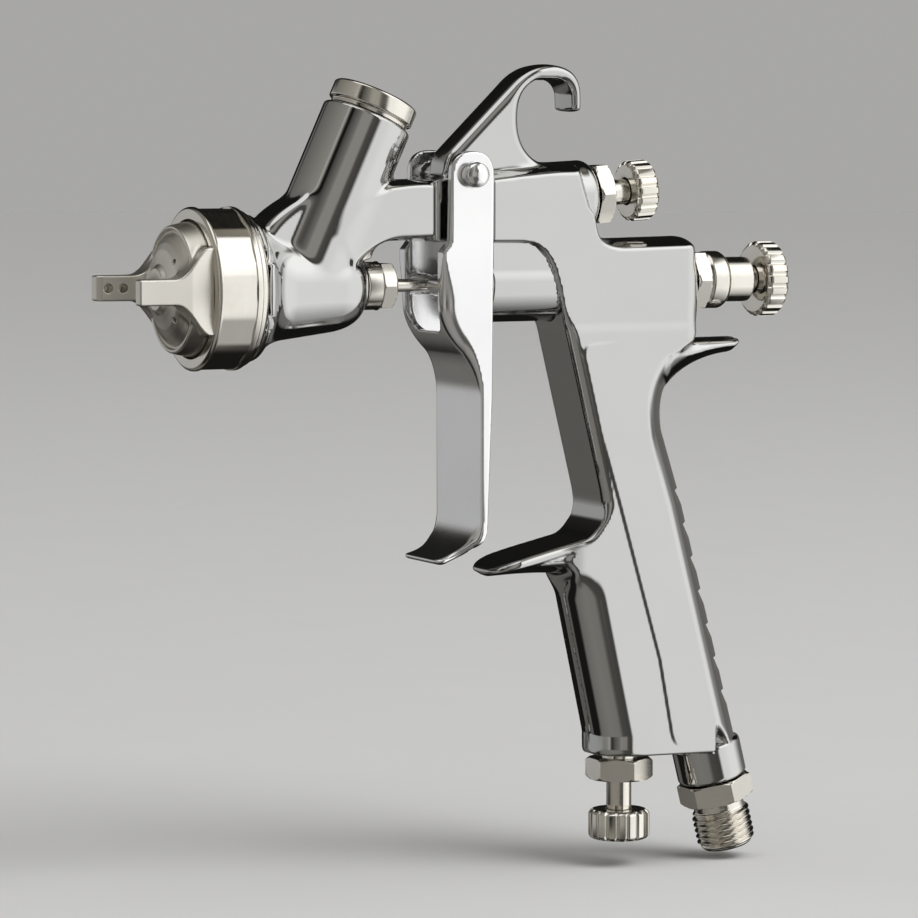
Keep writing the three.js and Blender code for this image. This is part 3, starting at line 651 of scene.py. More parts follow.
def middle_plate():
    """Upper block, grip, thumb horn and finger guard in one plate of varying section."""
    plan = upper_block_plan().merge(grip_plan(), 1.5)
    plan = plan.merge(thumb_horn_plan(), 1.5).merge(finger_guard_plan(), 2.5)
    panel = panel_plan()

    def back_share(x, z):
        """1 towards the back of the grip, 0 towards its front."""
        middle = 38 + (-20 - z) * 0.16
        rear = 55.7 + (-48 - z) * 0.258
        low = ramp(-z, 88, 100) * (1 - ramp(x, rear - 9.5, rear - 7.2))
        return ramp(x, middle - 4, middle + 6) * ramp(-z, 11, 17) * (1 - low)

    def half(x, z):
        """Half width of the plate."""
        # the thumb horn gets thinner towards its tip
        wide = HALF - 3.2 * ramp(x, 60, 70.5) * ramp(-z, 8, 12) * ramp(z, -30, -24)
        # round tip of the finger guard
        tip = np.sqrt(np.maximum(8.6 ** 2 - np.maximum(14.4 - x, 0) ** 2, 0.5))
        at_guard = ramp(-z, 50, 54) * (1 - ramp(x, 22, 31)) * ramp(z, -72, -66)
        wide = wide + (np.minimum(tip, GUARD_HALF) - wide) * at_guard
        # rounded rear corners of the valve block
        rear = np.maximum(x - 53.6, 0) * ramp(z, -13.6, -12.2)
        wide = wide - 4.2 * (1 - np.sqrt(np.maximum(1 - (rear / 4.4) ** 2, 0)))
        # rounded lower front of the grip
        front = np.minimum(26.5 + (-66 - z) * 0.216, 34.0)
        inward = FRONT_ROUND - np.clip(x - front, 0, FRONT_ROUND)
        rounding = FRONT_ROUND - np.sqrt(FRONT_ROUND ** 2 - inward ** 2)
        wide = wide - rounding * ramp(-z, 63, 70)
        # raised panel, fading out at its top rear, and a shallow band above it
        raised = ramp(-panel.at(x, z), -0.75, 0.75)
        shown = np.maximum(ramp(-z, 16, 40), 1 - ramp(x, 31, 43))
        band = np.exp(-((z - BAND_Z) / BAND_HEIGHT) ** 2) * ramp(x, 21, 25)
        return wide + PANEL_RAISE * raised * shown - BAND_DEPTH * band

    def edge(x, z):
        """Edge radius, larger along the front of the grip and on the guard."""
        lower_front = ramp(-z, 62, 68) * (1 - ramp(x, 38, 44))
        upper_front = ramp(-z, 4, 12) * (1 - ramp(x, 36, 44)) * (1 - ramp(-z, 48, 54))
        guard = ramp(-z, 50, 56) * (1 - ramp(x, 30, 36)) * (1 - lower_front)
        return BODY_EDGE + 0.7 * lower_front + 1.5 * upper_front + 0.7 * guard

    def crown(x, z):
        """How far the outline falls away at the sides, and the depth of the teeth."""
        top = ramp(z, 13, 17) * ramp(x, -6, 4)
        rear_top = ramp(x, 28, 33) * ramp(z, -2, 4)
        back = back_share(x, z)
        notch = (TOOTH_TOP - z) / TOOTH_PITCH
        toothed = (notch > 0) & (notch < TOOTH_COUNT)
        tooth = np.where(toothed, 1 - np.minimum((notch % 1.0) * 2.2, 1), 0)
        guard_middle = -57.6 - (28.5 - x) * 0.25
        under = ramp(guard_middle - z, 0, 1.5) * (1 - ramp(x, 24, 28)) * ramp(z, -69, -64)
        lift = TOP_CROWN * np.maximum(top, rear_top) + BACK_CROWN * back + GUARD_CROWN * under
        return lift, TOOTH_DEPTH * tooth * back

    def distance(x, y, z):
        lift, notch = crown(x, z)
        middle = 1 - ramp(np.abs(y), TOOTH_HALF, TOOTH_HALF + 1.4)
        rim = plan.at(x, z) + lift * (y / HALF) ** 2 + notch * middle
        return edged(rim, np.abs(y) - half(x, z), edge(x, z))
    return distance, (-8, 72.5, -HALF, HALF, -113.2, 27)


def valve_side():
    """Fills the sides beside the air valve barrel, up to the lip of the upper block."""
    plan = Plan(outline((5.5, -0.5), (5.5, 12), (26, 12), (26, -0.5)))
    return slab(plan, 5, 26.5, -1, 12.5, VALVE_SIDE_HALF, 0.4)


def hook():
    plan = Plan(outline(
        (-3.4, 24), (-3.6, 27.6, -1.2, 29.8), (13, 43.6), (17.2, 47.9, 22.6, 47.9),
        (29.8, 47.4, 29.8, 41), (29.8, 37.4), (27.2, 37.6), (27.1, 41), (26.6, 44.2, 23.2, 44.4),
        (19.4, 44.4), (14.8, 42.8, 14.6, 37), (14.2, 29.5, 19.5, 26.6), (24, 24)))

    def edge(x, z):
        return 1.2 + 0.9 * (1 - ramp(x, 10, 22))
    return slab(plan, -4, 30, 23, 48, HOOK_HALF, edge, 1.2)


def body_step():
    """Shallow pocket on each side that the trigger arms swing in."""
    def distance(x, y, z):
        across = np.maximum(np.abs(x + 0.45) - 6.65, np.abs(z - 22) - 18)
        return np.maximum(across, VALVE_SIDE_HALF - np.abs(y))
    return distance, (-7.1, 6.2, -12, 12, 4, 40)


def bores():
    inlet = {"aim": INLET_AIM, "at": (INLET_X, 0.0)}
    return [
        # paint inlet
        bar(2, 60, 3.8, **inlet), bar(25.7, 60, 4.8, **inlet), bar(37.6, 60, 5.5, **inlet),
        # nozzle, needle and packing
        bar(-60, -30, 5.2), bar(-31, 3, 2.2), bar(-25.2, -20, 3.6),
        # air valve, its spring and the needle's spring
        bar(5, 14.2, 4.7), bar(14, 33.2, 6), bar(33, 60, 5.4),
        # air inlet, air adjuster, pattern adjuster and trigger pin
        bar(-12, 2, 5, aim=NIPPLE_AIM, at=NIPPLE_AT),
        bar(88, 108, 4.2, aim=DOWN, at=(BOTTOM_VALVE_X, 0.0)),
        bar(-13, 1, 4.6, aim=PATTERN_TILT, at=PATTERN_AT),
        cross_bar(0, PIVOT_Z, PIVOT_BORE_R, 14),
    ]


def gun_body():
    cast = Sculpt()
    cast.add(front_barrel())
    cast.add(neck(), 1.6)
    cast.add(bar(0, INLET_TOP, INLET_R, 0.7, aim=INLET_AIM, at=(INLET_X, 0.0)), 1.2)
    cast.add(bridge(), 3.0)
    cast.add(middle_plate(), 0.6)
    cast.add(bar(6, 30, 8.4, 1.0), 0.5)
    cast.add(valve_side(), 0.4)
    cast.add(bar(-16, 0.6, BOSS_R, 2.6, aim=PATTERN_TILT, at=PATTERN_AT), 0.8)
    cast.add(hook(), 2.5)
    cast.add(bar(-9, -0.3, BOSS_R, 1.0, aim=NIPPLE_AIM, at=NIPPLE_AT), 0.5)
    cast.cut(body_step(), 0.5)
    for bore in bores():
        cast.cut(bore)
    piece = sculpted("cast_body", cast, (-56.5, 72.5, -11, 11, -114.6, 48.5), BODY_STEP, chrome)
    return ready(piece, "gun", ["gun_body"])


# ---- air cap set
def air_cap():
    cap = Sculpt()
    dome = outline(
        (-57.2, 15.4), (-58.6, 15.4), (-58.6, 14.5), (-62, 14.3), (-64.7, 13.7),
        (-65.5, 13.6, -65.3, 12.9), (-64.8, 12.3), (-66.8, 10.3, -67.5, 7.0), (-68.0, 5.4),
        (-68.9, 4.6), (-69.1, 4.3, -68.9, 2.1), (-66.5, 3.2), (-63, 7.6), (-60, 12),
        (-57.2, 12.6), curve_points=4)
    plan = Plan(dome, 0.12, 4)

    def dome_distance(x, y, z):
        return plan.at(x, np.hypot(y, z))
    cap.add((dome_distance, (-69.2, -57, -15.5, 15.5, -15.5, 15.5)))
    horn = Plan(outline(
        (-77.8, 14.5), (-77.8, 11.8), (-76.6, 10.7), (-70.5, 9.5), (-66.6, 8.6, -65.2, 6.8),
        (-62, 10.8), (-60, 12.6), (-60, 14.1), (-66, 14.55)), 0.15, 4)

    def horn_distance(x, y, z):
        flare = 6.5 * ramp(x, -71, -62) ** 1.8
        return edged(horn.at(x, np.abs(y)), np.abs(z) - HORN_HALF - flare, 0.45)
    cap.add((horn_distance, (-78, -59, -14.8, 14.8, -7.5, 7.5)), 1.6)

    hollow = Plan(mirrored([
        (-56, 0), (-56, 12.8), (-59.8, 12.2), (-62.8, 7.8), (-66.3, 3.4), (-68.9, 2.2),
        (-71, 2.2), (-71, 0)]), 0.15, 4)

    def inner(x, y, z):
        return hollow.at(x, np.hypot(y, z))
    cap.cut((inner, (-71, -56, -13, 13, -13, 13)))
    for x0 in HORN_HOLES_X:
        def drill(x, y, z, x0=x0):
            length = np.abs(np.abs(y) - 10.5) - 2.9
            return np.maximum(np.hypot(x - x0, z) - HORN_HOLE_R, length)
        cap.cut((drill, (x0 - 1, x0 + 1, -13.5, 13.5, -1, 1)), 0.25)
    for turn in CAP_HOLES_TURN:
        cy = CAP_HOLES_CIRCLE * math.cos(math.radians(turn))
        cz = CAP_HOLES_CIRCLE * math.sin(math.radians(turn))

        def hole(x, y, z, cy=cy, cz=cz):
            return np.maximum(np.hypot(y - cy, z - cz) - CAP_HOLE_R, np.abs(x + 66) - 5)
        cap.cut((hole, (-71, -60, cy - 0.6, cy + 0.6, cz - 0.6, cz + 0.6)), 0.15)
    piece = sculpted("horned_air_cap", cap, (-78, -57, -15.6, 15.6, -15.6, 15.6), CAP_STEP,
                     cap_steel)
    return ready(piece, "cap", ["air_cap"])


def air_cap_ring():
    facets = 12

    def radius(along, away, turn):
        if not (-60.1 < along < -52.4 and away > 16.8):
            return away
        part = (turn + math.pi / facets) % (2 * math.pi / facets) - math.pi / facets
        return min(away - 0.12, 17.02 / math.cos(part))
    profile = [
        (-61.2, 14.9, 0.15), (-61.2, 17.0, 0.45), (-60.7, 17.5, 0.2), (-60.2, 17.5, 0.05),
        (-60.0, 17.45, 0.02), (-52.5, 17.45, 0.02), (-52.3, 17.5, 0.05), (-51.2, 17.5, 0.3),
        (-50.9, 16.9, 0.3), (-50.2, 16.9, 0.4), (-49.3, 16.2, 0.3), (-49.3, 14, 0.1),
        (-56.4, 14, 0.1), (-56.4, 15.8, 0.1), (-58.9, 15.8, 0.1), (-58.9, 14.9, 0.1)]
    piece = turned("cap_ring_collar", profile, steel, segments=240, radius=radius)
    return ready(piece, "cap_ring", ["air_cap_ring"])


def fluid_nozzle():
    profile = [
        (-69.2, 0.75, 0.05), (-69.2, 1.6, 0.1), (-66, 2.2), (-62.5, 5.2, 0.6), (-60.6, 7.4),
        (-58.4, 7.4, 0.1), (-56.3, 7.4, 0.1), (-56.3, 4.9, 0.1), (-48, 4.9), (-48, 3, 0.1),
        (-62, 3, 0.1), (-67, 1.75, 0.05)]
    piece = turned("nozzle_tip", profile, steel)
    return ready(piece, "gun", ["fluid_nozzle"])


# ---- paint inlet and packing
def cup_joint():
    profile = [
        (26, 3.4), (37, 3.4), (39, 4.4), (45.2, 4.4, 0.3), (45.2, 9.0, 0.35), (44.7, 9.5, 0.2),
        (41.4, 9.5, 0.25), (41.0, 8.7, 0.2), (40.2, 8.7, 0.2), (40.2, 5.2), (38, 4.5), (26, 4.5)]
    piece = turned("cup_thread_collar", profile, steel, INLET_AIM, (INLET_X, 0.0))
    return ready(piece, "gun", ["cup_joint"])


def packing_nut():
    profile = [
        (-22.1, 1.9), (-22.1, 3.3), (-21.4, 3.3), (-21.4, 5.2, 0.35), (-17.9, 5.2, 0.2),
        (-17.6, 5.54, 0.1), (-15.1, 5.54, 0.1), (-14.8, 5.1, 0.1), (-14.5, 4.7, 0.1),
        (-14.5, 1.9, 0.3)]
    piece = turned("packing_gland", profile, steel, radius=hexagonal(9.6, -17.75, -14.4))
    return ready(piece, "gun", ["packing_nut"])


# ---- trigger
def trigger():
    outer = Plan(outline(
        (-5.1, 24), (-5.1, 29.1, 0, 29.1), (5.1, 29.1, 5.1, 24), (4.7, -24), (3.6, -53.4),
        (2.6, -57, -1, -58.8), (-5.4, -60.6), (-8.4, -60.4, -7.2, -59.2), (0.6, -57.6, 1.8, -51),
        (1.9, -25), (1.9, -19, -1.5, -14.8), (-7, -9.5, -7, -4), (-7, 7.4), (-5.4, 9.4)), 0.3, 5)
    inner = Plan(outline(
        (-8, 40), (14, 40), (14, -66), (-3, -66), (-8.6, -60.9), (2.2, -59.4, 3.3, -51),
        (3.5, -25), (3.6, -18, -0.1, -13.8), (-5.4, -9, -5.4, -4), (-5.4, 9), (-8, 12)), 0.3, 5)
    shell = Sculpt()
    box = (-9, 6, -12, 12, -61.5, 30)

    def outer_edge(x, z):
        # wide where the web bends round into the arms, small along the arms' own edges
        return 0.5 + 2.3 * (1 - ramp(x, -2.5 + 0.05 * (-z), 3.2)) * ramp(-z, -8, 4)

    def outer_distance(x, y, z):
        wide = ARM_OUT - 2.0 * ramp(-z, 55.5, 59)
        return edged(outer.at(x, z), np.abs(y) - wide, outer_edge(x, z))

    def inner_distance(x, y, z):
        return edged(inner.at(x, z), np.abs(y) - ARM_IN + 1.0 * ramp(-z, 57, 59), 0.9)

    def lip(x, y, z):
        return np.maximum(outer_distance(x, y, z), np.maximum(z + 57.6, np.abs(y) - 9.4))

    def window(x, y, z):
        # open above, with a wide round lower edge
        across = np.hypot(np.maximum(np.abs(y) - 4.4, 0), np.maximum(-(z + 6), 0)) - 4.0
        return np.maximum(np.maximum(across, z - 14), np.abs(x + 6) - 4.5)
    shell.add((outer_distance, box))
    shell.cut((inner_distance, (-8, 14, -9.9, 9.9, -66, 40)))
    shell.add((lip, (-9, 0, -9.5, 9.5, -61.5, -57)))
    shell.cut((window, (-10.5, -1.5, -8.4, 8.4, -10, 14)), 0.5)
    for side in (-1, 1):
        def pad(x, y, z, side=side):
            return edged(np.hypot(x - PAD_X, z) - PAD_R, np.abs(y - side * 6.15) - 4.25, 0.3)
        low, high = sorted((side * 1.9, side * 10.4))
        shell.add((pad, (PAD_X - PAD_R, PAD_X + PAD_R, low, high, -PAD_R, PAD_R)), 0.4)
    shell.cut(cross_bar(0, PIVOT_Z, PIVOT_BORE_R, 14))
    # the lever takes the near-white plating, whose extra brightness is painted light
    piece = sculpted("trigger_lever", shell, box, TRIGGER_STEP, trigger_steel)
    return ready(piece, "trigger_body", ["trigger"])


def sideways(piece, y):
    """Turns a lathe piece so that its axis lies along +Y through the pivot."""
    place = Matrix.Translation(Vector((-HOOK[0] / MM, y / MM, (PIVOT_Z - HOOK[2]) / MM)))
    piece.matrix_world = place @ Matrix.Rotation(math.pi / 2, 4, "Z")
    return piece


def trigger_pin():
    profile = [(-3.6, 0), (-3.5, 0.9, 0.1), (-3.2, 1.8, 0.2), (-2.7, 2.5, 0.2),
               (-2.0, 2.85, 0.3), (0, 2.85, 0.1),
               (0, 2.1, 0.05), (23.3, 2.1, 0.1), (23.3, 1.2, 0.05), (24.7, 1.2, 0.1), (24.7, 0)]
    # the pin takes the near-white plating too, its extra brightness painted light
    piece = sideways(turned("pivot_pin", profile, trigger_steel, segments=64), -12.1)
    return ready(piece, "gun", ["trigger_pin"])


def trigger_screw():
    sculpt = Sculpt()

    def head(x, y, z):
        r = np.hypot(x, z - PIVOT_Z)
        return edged(r - 3.4, np.maximum(12.2 - y, y - 14.9 + 0.05 * r * r), 0.35)

    def slot(x, y, z):
        return np.maximum(np.abs(x * 0.8 + (z - PIVOT_Z) * 0.6) - 0.4, 14.1 - y)

    def bore(x, y, z):
        return np.maximum(np.hypot(x, z - PIVOT_Z) - 1.5, y - 13)
    sculpt.add((head, (-3.4, 3.4, 12.2, 15, PIVOT_Z - 3.4, PIVOT_Z + 3.4)))
    sculpt.cut((slot, (-4, 4, 14, 16, PIVOT_Z - 4, PIVOT_Z + 4)), 0.15)
    sculpt.cut((bore, (-1.6, 1.6, 11, 13, PIVOT_Z - 1.6, PIVOT_Z + 1.6)))
    piece = sculpted("pivot_screw", sculpt, (-3.5, 3.5, 12.1, 15, PIVOT_Z - 3.5, PIVOT_Z + 3.5),
                     SCREW_STEP, cap_steel)
    return ready(piece, "gun", ["trigger_screw"])


# ---- knobs, nuts and stems
def fluid_guide():
    profile = [
        (39, 4.6), (39, 5.1), (58.1, 5.1, 0.1), (58.1, 6.3, 0.1), (58.5, 7.04, 0.1),
        (61.1, 7.04, 0.1), (61.5, 6.3, 0.1), (61.6, 5.9, 0.05), (62.2, 6.4, 0.3),
        (65.6, 6.4, 0.35), (66.6, 5.7, 0.3), (66.7, 5, 0.2), (73, 5, 0.45), (73, 3.3)]
    piece = turned("fluid_gland", profile, steel, radius=hexagonal(12.2, 58, 61.55))
    return ready(piece, "gun", ["fluid_guide"])


def knob_profile(start, end, outer, bore, back):
    """A knob with a bevelled fluted rim, open at the near end and closed at the far end."""
    return [
        (start, bore, 0.1), (start, outer - 0.9, 0.15), (start + 0.25, outer - 0.5, 0.2),
        (start + 0.8, outer, 0.25), (end - 0.9, outer, 0.25), (end - 0.3, outer - 0.5, 0.2),
        (end, outer - 1.3, 0.3), (end, 2.2, 0.2), (end - 0.4, 1.4, 0.1), (end - 0.4, 0),
        (back, 0), (back, bore, 0.1)]


def knob(name, body, node, start, end, outer, bore, back, flutes, aim=ALONG, at=(0.0, 0.0)):
    profile = knob_profile(start, end, outer, bore, back)
    shape = fluted(flutes, 0.55, start - 1, end + 1, outer - 1.0, 0.46)
    piece = turned(name, profile, steel, aim, at, flutes * 12, shape)
    return ready(piece, body, [node])


def stem(name, profile, body, node, aim=ALONG, at=(0.0, 0.0)):
    piece = turned(name, profile, steel, aim, at, 48)
    return ready(piece, body, [node])


def pattern_nut():
    profile = [
        (-6, 3.1), (-6, 4.3), (0.8, 4.3, 0.1), (0.8, 6.6, 0.1), (1.2, 7.27, 0.1),
        (3.9, 7.27, 0.1), (4.2, 6.8, 0.1), (4.4, 6.3, 0.1), (4.4, 3.1, 0.3)]
    piece = turned("pattern_gland", profile, steel, PATTERN_TILT, PATTERN_AT,
                   radius=hexagonal(12.6, 0.7, 4.5))
    return ready(piece, "gun", ["pattern_nut"])


def bottom_nut():
    profile = [
        (98, 3.1), (98, 3.9), (106.4, 3.9, 0.1), (106.4, 6.8, 0.1), (106.7, 7.2, 0.1),
        (107, 7.56, 0.1), (110.5, 7.56, 0.1), (110.9, 7.1, 0.1), (111.2, 6.6, 0.1),
        (111.2, 3.1, 0.3)]
    piece = turned("air_valve_gland", profile, steel, DOWN, (BOTTOM_VALVE_X, 0.0),
                   radius=hexagonal(13.1, 106.3, 111.3))
    return ready(piece, "gun", ["air_adjust_nut"])


def air_nipple():
    """Hexagon and tapering tail with a helical pipe thread."""
    start, end = 6.7, 15.0
    hexed = hexagonal(14.6, -0.1, 5.1)

    def radius(along, away, turn):
        if away < 4:
            return away
        if along < start - 0.6 or along > end + 0.3:
            return hexed(along, away, turn)
        wave = (along / THREAD_PITCH - turn / (2 * math.pi)) % 1.0
        tooth = 1 - 2 * abs(wave - 0.5)
        fade = min(1, max(0, (along - start) / 0.9)) * min(1, max(0, (end + 0.1 - along) / 0.8))
        return THREAD_ROOT_R + THREAD_DEPTH * fade * (3 * tooth ** 2 - 2 * tooth ** 3)
    profile = [(-9, 3.4), (-9, 4.6, 0.3), (0, 4.6, 0.05), (0, 7.6, 0.1), (0.4, 8.43, 0.1),
               (4.5, 8.43, 0.1), (4.8, 7.8, 0.1), (5.0, 7.2, 0.1), (5.0, 5.6, 0.2)]
    steps = 96
    profile += [(5.9 + 9.3 * i / steps, 5.7, 0) for i in range(steps + 1)]
    profile += [(15.7, 5.3, 0.2), (15.7, 3.4, 0.2)]
    piece = turned("air_inlet_thread", profile, steel, NIPPLE_AIM, NIPPLE_AT, 96, radius)
    return ready(piece, "gun", ["air_nipple"])


def coil(name, node, start, end, radius, wire, turns):
    """A wire spring: a helix of round wire from start to end."""
    per_turn, sides = 24, 8
    steps = turns * per_turn
    points = []
    for i in range(steps + 1):
        turn = 2 * math.pi * i / per_turn
        along = start + wire + (end - start - 2 * wire) * i / steps
        for j in range(sides):
            side = 2 * math.pi * j / sides
            away = radius + wire * math.cos(side)
            points.append((along + wire * math.sin(side), away * math.cos(turn),
                           away * math.sin(turn)))
    faces = []
    for i in range(steps):
        for j in range(sides):
            k = (j + 1) % sides
            a, b = i * sides, (i + 1) * sides
            faces.append((a + j, a + k, b + k, b + j))
    faces.append(tuple(range(sides))[::-1])
    faces.append(tuple(range(steps * sides, (steps + 1) * sides)))
    mesh = bpy.data.meshes.new(name)
    mesh.from_pydata(((np.array(points) - HOOK) / MM).tolist(), [], faces)
    mesh.shade_smooth()
    mesh.set_sharp_from_angle(angle=math.radians(60))
    mesh.materials.append(spring_wire)
    piece = ready(placed(name, mesh), "gun", [node])
    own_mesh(piece)


# ---- the whole gun
BODY_STEP = 0.54
CAP_STEP = 0.24
TRIGGER_STEP = 0.42
SCREW_STEP = 0.16

gun_body()
air_cap()
air_cap_ring()
fluid_nozzle()
cup_joint()
packing_nut()
trigger()
trigger_pin()
trigger_screw()
fluid_guide()
pattern_nut()
bottom_nut()
air_nipple()
knob("fluid_dial", "fluid_knob_body", "fluid_knob",
     start=74.9, end=80.2, outer=8.4, bore=3.2, back=77.9, flutes=20)
knob("pattern_dial", "pattern_knob_body", "pattern_knob",
     start=9.8, end=15.4, outer=6.7, bore=3.1, back=12.6, flutes=18,
     aim=PATTERN_TILT, at=PATTERN_AT)
knob("air_dial", "air_knob_body", "air_adjust_knob",
     start=118, end=124.7, outer=6.85, bore=3.1, back=121.4, flutes=18,
     aim=DOWN, at=(BOTTOM_VALVE_X, 0.0))
stem("fluid_rod", [(58, 0), (58, 2.9), (77.6, 2.9), (77.6, 0)], "fluid_screw_body",
     "fluid_screw")
stem("pattern_rod", [(-11.6, 0), (-9, 2.4), (-7, 2.8), (12.2, 2.8), (12.2, 0)],
     "pattern_screw_body", "pattern_stem", PATTERN_TILT, PATTERN_AT)
stem("air_rod", [(89.4, 0), (92, 2.4), (93, 2.8), (121, 2.8), (121, 0)], "air_screw_body",
     "air_adjust_stem", DOWN, (BOTTOM_VALVE_X, 0.0))
stem("needle_rod", [(-69, 0), (-69, 0.35, 0.02), (-64.5, 1.4), (35, 1.4, 0.1), (35, 3.2),
                    (38, 3.2), (38, 2, 0.1), (52.4, 2), (52.4, 0)], "needle", "fluid_needle")
stem("air_valve_rod", [(-1.5, 1.7, 0.1), (-1.5, 4, 0.25), (-0.3, 4, 0.2), (-0.3, 2.6, 0.1),
                       (14.6, 2.6, 0.1), (14.6, 5.2), (16, 5.2), (16, 3.4, 0.1), (18, 3.4),
                       (18, 2.4, 0.1), (33.1, 2.4), (33.1, 1.7, 0.1)],
     "air_valve", "air_valve_stem")

coil("valve_coil", "air_valve_spring",
     start=16.4, end=31, radius=4.5, wire=0.45, turns=5)
coil("needle_coil", "needle_spring",
     start=38.4, end=57.6, radius=3.6, wire=0.5, turns=6)

LOOKS = {
    "air_baffle": brass, "cap_seal": white_seal, "needle_packing": white_seal,
    "air_valve_seat": brass, "air_valve_seal": white_seal,
    "spring_plate": brass, "needle_chuck": brass,
}
for node_name, look in LOOKS.items():
    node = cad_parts[node_name]
    node.data.materials.clear()
    node.data.materials.append(look)


# ---- studio
BACKDROP = (0.392, 0.389, 0.383)


def studio_floor():
    mesh = bpy.data.meshes.new("studio_floor")
    shape = bmesh.new()
    bmesh.ops.create_circle(shape, cap_ends=True, segments=96, radius=6.0)
    shape.to_mesh(mesh)
    shape.free()
    floor = placed("studio_floor", mesh)
    floor.location.z = cad_box[0].z - 0.001
    material, nodes, links, shader, place = new_material("pale_floor")
    specks = noise(nodes, links, place, 40, 3)
    links.new(mixed(nodes, links, specks, (0.80, 0.80, 0.80), (0.78, 0.78, 0.78)),
              shader.inputs["Base Color"])
    shader.inputs["Roughness"].default_value = 0.95
    shader.inputs["Specular IOR Level"].default_value = 0.0
    mesh.materials.append(material)
    floor.visible_glossy = False


def window_node(nodes, links, value, rise, fall):
    """1 between the two ramps and 0 outside them, in the value's own unit."""
    up = between(nodes, links, value, 0, 1, *rise)
    down = between(nodes, links, value, 1, 0, *fall)
    return math_node(nodes, links, "MULTIPLY", up, down)


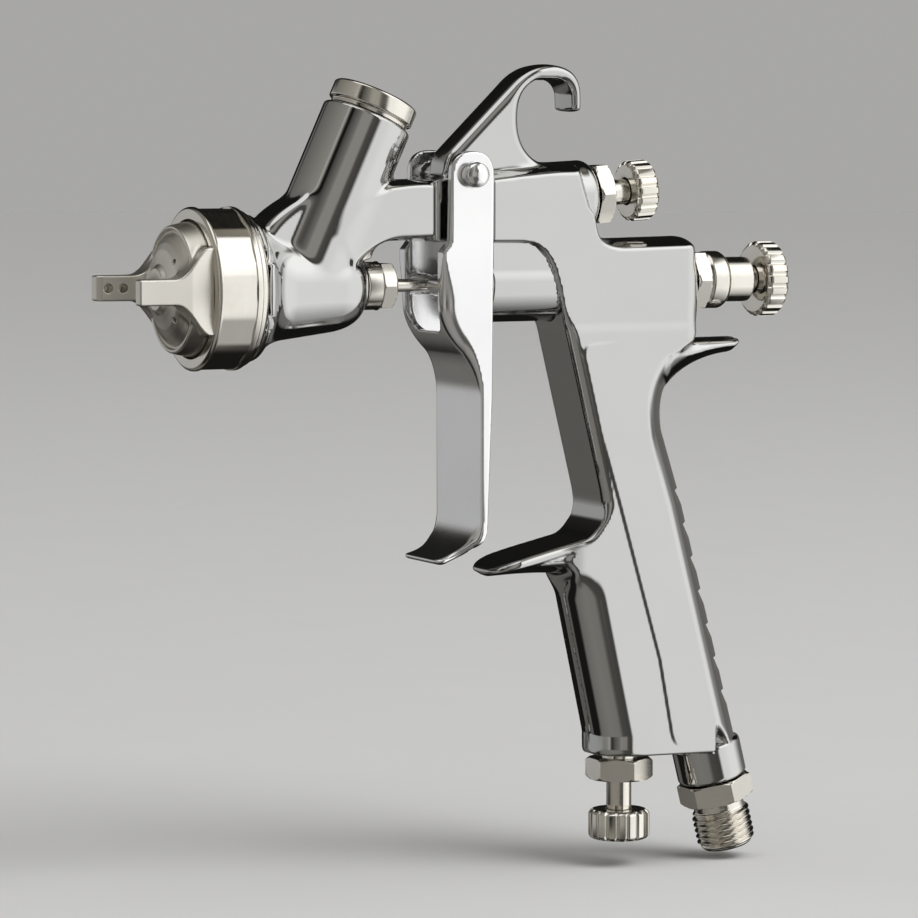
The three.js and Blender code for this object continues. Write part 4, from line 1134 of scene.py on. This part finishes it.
def studio_world():
    """Soft boxes and dark flags round the gun, as a function of direction only."""
    world = bpy.data.worlds.new("studio")
    bpy.context.scene.world = world
    world.use_nodes = True
    nodes, links = world.node_tree.nodes, world.node_tree.links
    nodes.clear()
    direction = nodes.new("ShaderNodeTexCoord").outputs["Generated"]
    split = nodes.new("ShaderNodeSeparateXYZ")
    links.new(direction, split.inputs[0])
    x, y, z = split.outputs
    toward = math_node(nodes, links, "MULTIPLY", y, -1.0)
    turn = math_node(nodes, links, "ARCTAN2", x, toward)
    azimuth = math_node(nodes, links, "MULTIPLY", turn, 180 / math.pi)
    rise = math_node(nodes, links, "ARCSINE", z)
    height = math_node(nodes, links, "MULTIPLY", rise, 180 / math.pi)
    share = math_node(nodes, links, "MULTIPLY_ADD", azimuth, 1 / 360, 0.5)

    def surround(stops):
        """Warm grey levels round the gun, from (azimuth, level) pairs."""
        node = nodes.new("ShaderNodeValToRGB")
        links.new(share, node.inputs[0])
        marks = node.color_ramp.elements
        while len(marks) > 1:
            marks.remove(marks[-1])
        for i, (degrees, level) in enumerate(stops):
            mark = marks[0] if i == 0 else marks.new(degrees / 360 + 0.5)
            mark.position = degrees / 360 + 0.5
            mark.color = (level * 1.03, level, level * 0.93, 1)
        return node.outputs["Color"]

    upper = surround([
        (-180, 0.010), (-163, 0.02), (-156, 0.17), (-110, 0.26), (-74, 0.34), (-71, 0.5),
        (-68, 0.5), (-65, 0.22), (-61, 0.008), (-55, 0.008), (-51, 0.08), (-33, 0.21),
        (-27, 0.34), (-7, 0.34), (-2, 0.10), (11, 0.07), (96, 0.06), (104, 0.17),
        (143, 0.17), (151, 0.010), (180, 0.010)])
    lower = surround([
        (-180, 0.05), (-166, 0.15), (-152, 0.13), (-147, 0.012), (-118, 0.012), (-108, 0.20),
        (-60, 0.26), (-28, 0.24), (-16, 0.09), (10, 0.07), (96, 0.06), (104, 0.17),
        (143, 0.17), (151, 0.010), (180, 0.010)])

    colour = mixed(nodes, links, between(nodes, links, height, 1, 0, -14, -7), upper, lower)
    # light grey strip low behind the left
    strip = math_node(nodes, links, "MULTIPLY",
                      window_node(nodes, links, azimuth, (-176, -170), (-110, -95)),
                      window_node(nodes, links, height, (-12, -8), (10, 18)))
    colour = mixed(nodes, links, strip, colour, (0.42, 0.42, 0.42))
    # black flags behind the gun, above and below the horizon
    steepness = math_node(nodes, links, "ABSOLUTE", height)
    flag = math_node(nodes, links, "MULTIPLY",
                     between(nodes, links, azimuth, 0, 1, 94, 106),
                     between(nodes, links, steepness, 0, 1, 13, 20))
    colour = mixed(nodes, links, flag, colour, (0.010, 0.010, 0.009))
    # dark below, and a dim warm ceiling
    below = between(nodes, links, height, 1, 0, -76, -55)
    colour = mixed(nodes, links, below, colour, (0.03, 0.028, 0.025))
    above = between(nodes, links, height, 0, 1, 62, 72)
    colour = mixed(nodes, links, above, colour, (0.33, 0.31, 0.26))
    # overhead soft box towards the front left
    spot = nodes.new("ShaderNodeVectorMath")
    spot.operation = "DOT_PRODUCT"
    links.new(direction, spot.inputs[0])
    spot.inputs[1].default_value = (-0.25, -0.05, 0.967)
    overhead = between(nodes, links, spot.outputs["Value"], 0, 1, 0.90, 0.94)
    colour = mixed(nodes, links, overhead, colour, (1.1, 1.1, 1.1))
    # main soft box on the right of the camera
    main = math_node(nodes, links, "MULTIPLY",
                     window_node(nodes, links, azimuth, (12, 19), (76, 108)),
                     window_node(nodes, links, height, (-70, -30), (54, 64)))
    bright = math_node(nodes, links, "MAXIMUM",
                       between(nodes, links, height, 0, 1, 6, 34),
                       between(nodes, links, azimuth, 0, 0.25, 30, 50))
    glow = mixed(nodes, links, bright, (1.0, 1.0, 0.995), (1.42, 1.42, 1.41))
    colour = mixed(nodes, links, main, colour, glow)

    seen = nodes.new("ShaderNodeLightPath")
    lit = nodes.new("ShaderNodeBackground")
    links.new(colour, lit.inputs["Color"])
    plain = nodes.new("ShaderNodeBackground")
    plain.inputs["Color"].default_value = (*BACKDROP, 1)
    mix = nodes.new("ShaderNodeMixShader")
    links.new(seen.outputs["Is Camera Ray"], mix.inputs[0])
    links.new(lit.outputs[0], mix.inputs[1])
    links.new(plain.outputs[0], mix.inputs[2])
    out = nodes.new("ShaderNodeOutputWorld")
    links.new(mix.outputs[0], out.inputs["Surface"])


def studio_light():
    light = bpy.data.lights.new("soft_key", "AREA")
    light.shape = "DISK"
    light.size = 1.6
    light.energy = 22
    lamp = placed("soft_key", light)
    lamp.location = (0.7, -1.3, 1.7)
    lamp.rotation_mode = "QUATERNION"
    lamp.rotation_quaternion = (-Vector(lamp.location)).to_track_quat("-Z", "Y")
    lamp.visible_glossy = False


def camera():
    azimuth, elevation, distance = math.radians(-25), math.radians(4.5), 1.0
    target = Vector((-0.01927, 0, -0.08266))
    back = Vector((math.sin(azimuth) * math.cos(elevation),
                   -math.cos(azimuth) * math.cos(elevation), math.sin(elevation)))
    data = bpy.data.cameras.new("photo_view")
    data.lens = 179.2
    data.sensor_width = 36
    data.clip_start = 0.01
    made = placed("photo_view", data)
    made.location = target + back * distance
    made.rotation_mode = "QUATERNION"
    made.rotation_quaternion = (-back).to_track_quat("-Z", "Y")
    bpy.context.scene.camera = made


studio_floor()
studio_world()
studio_light()
camera()
bpy.context.scene.view_settings.view_transform = "Standard"
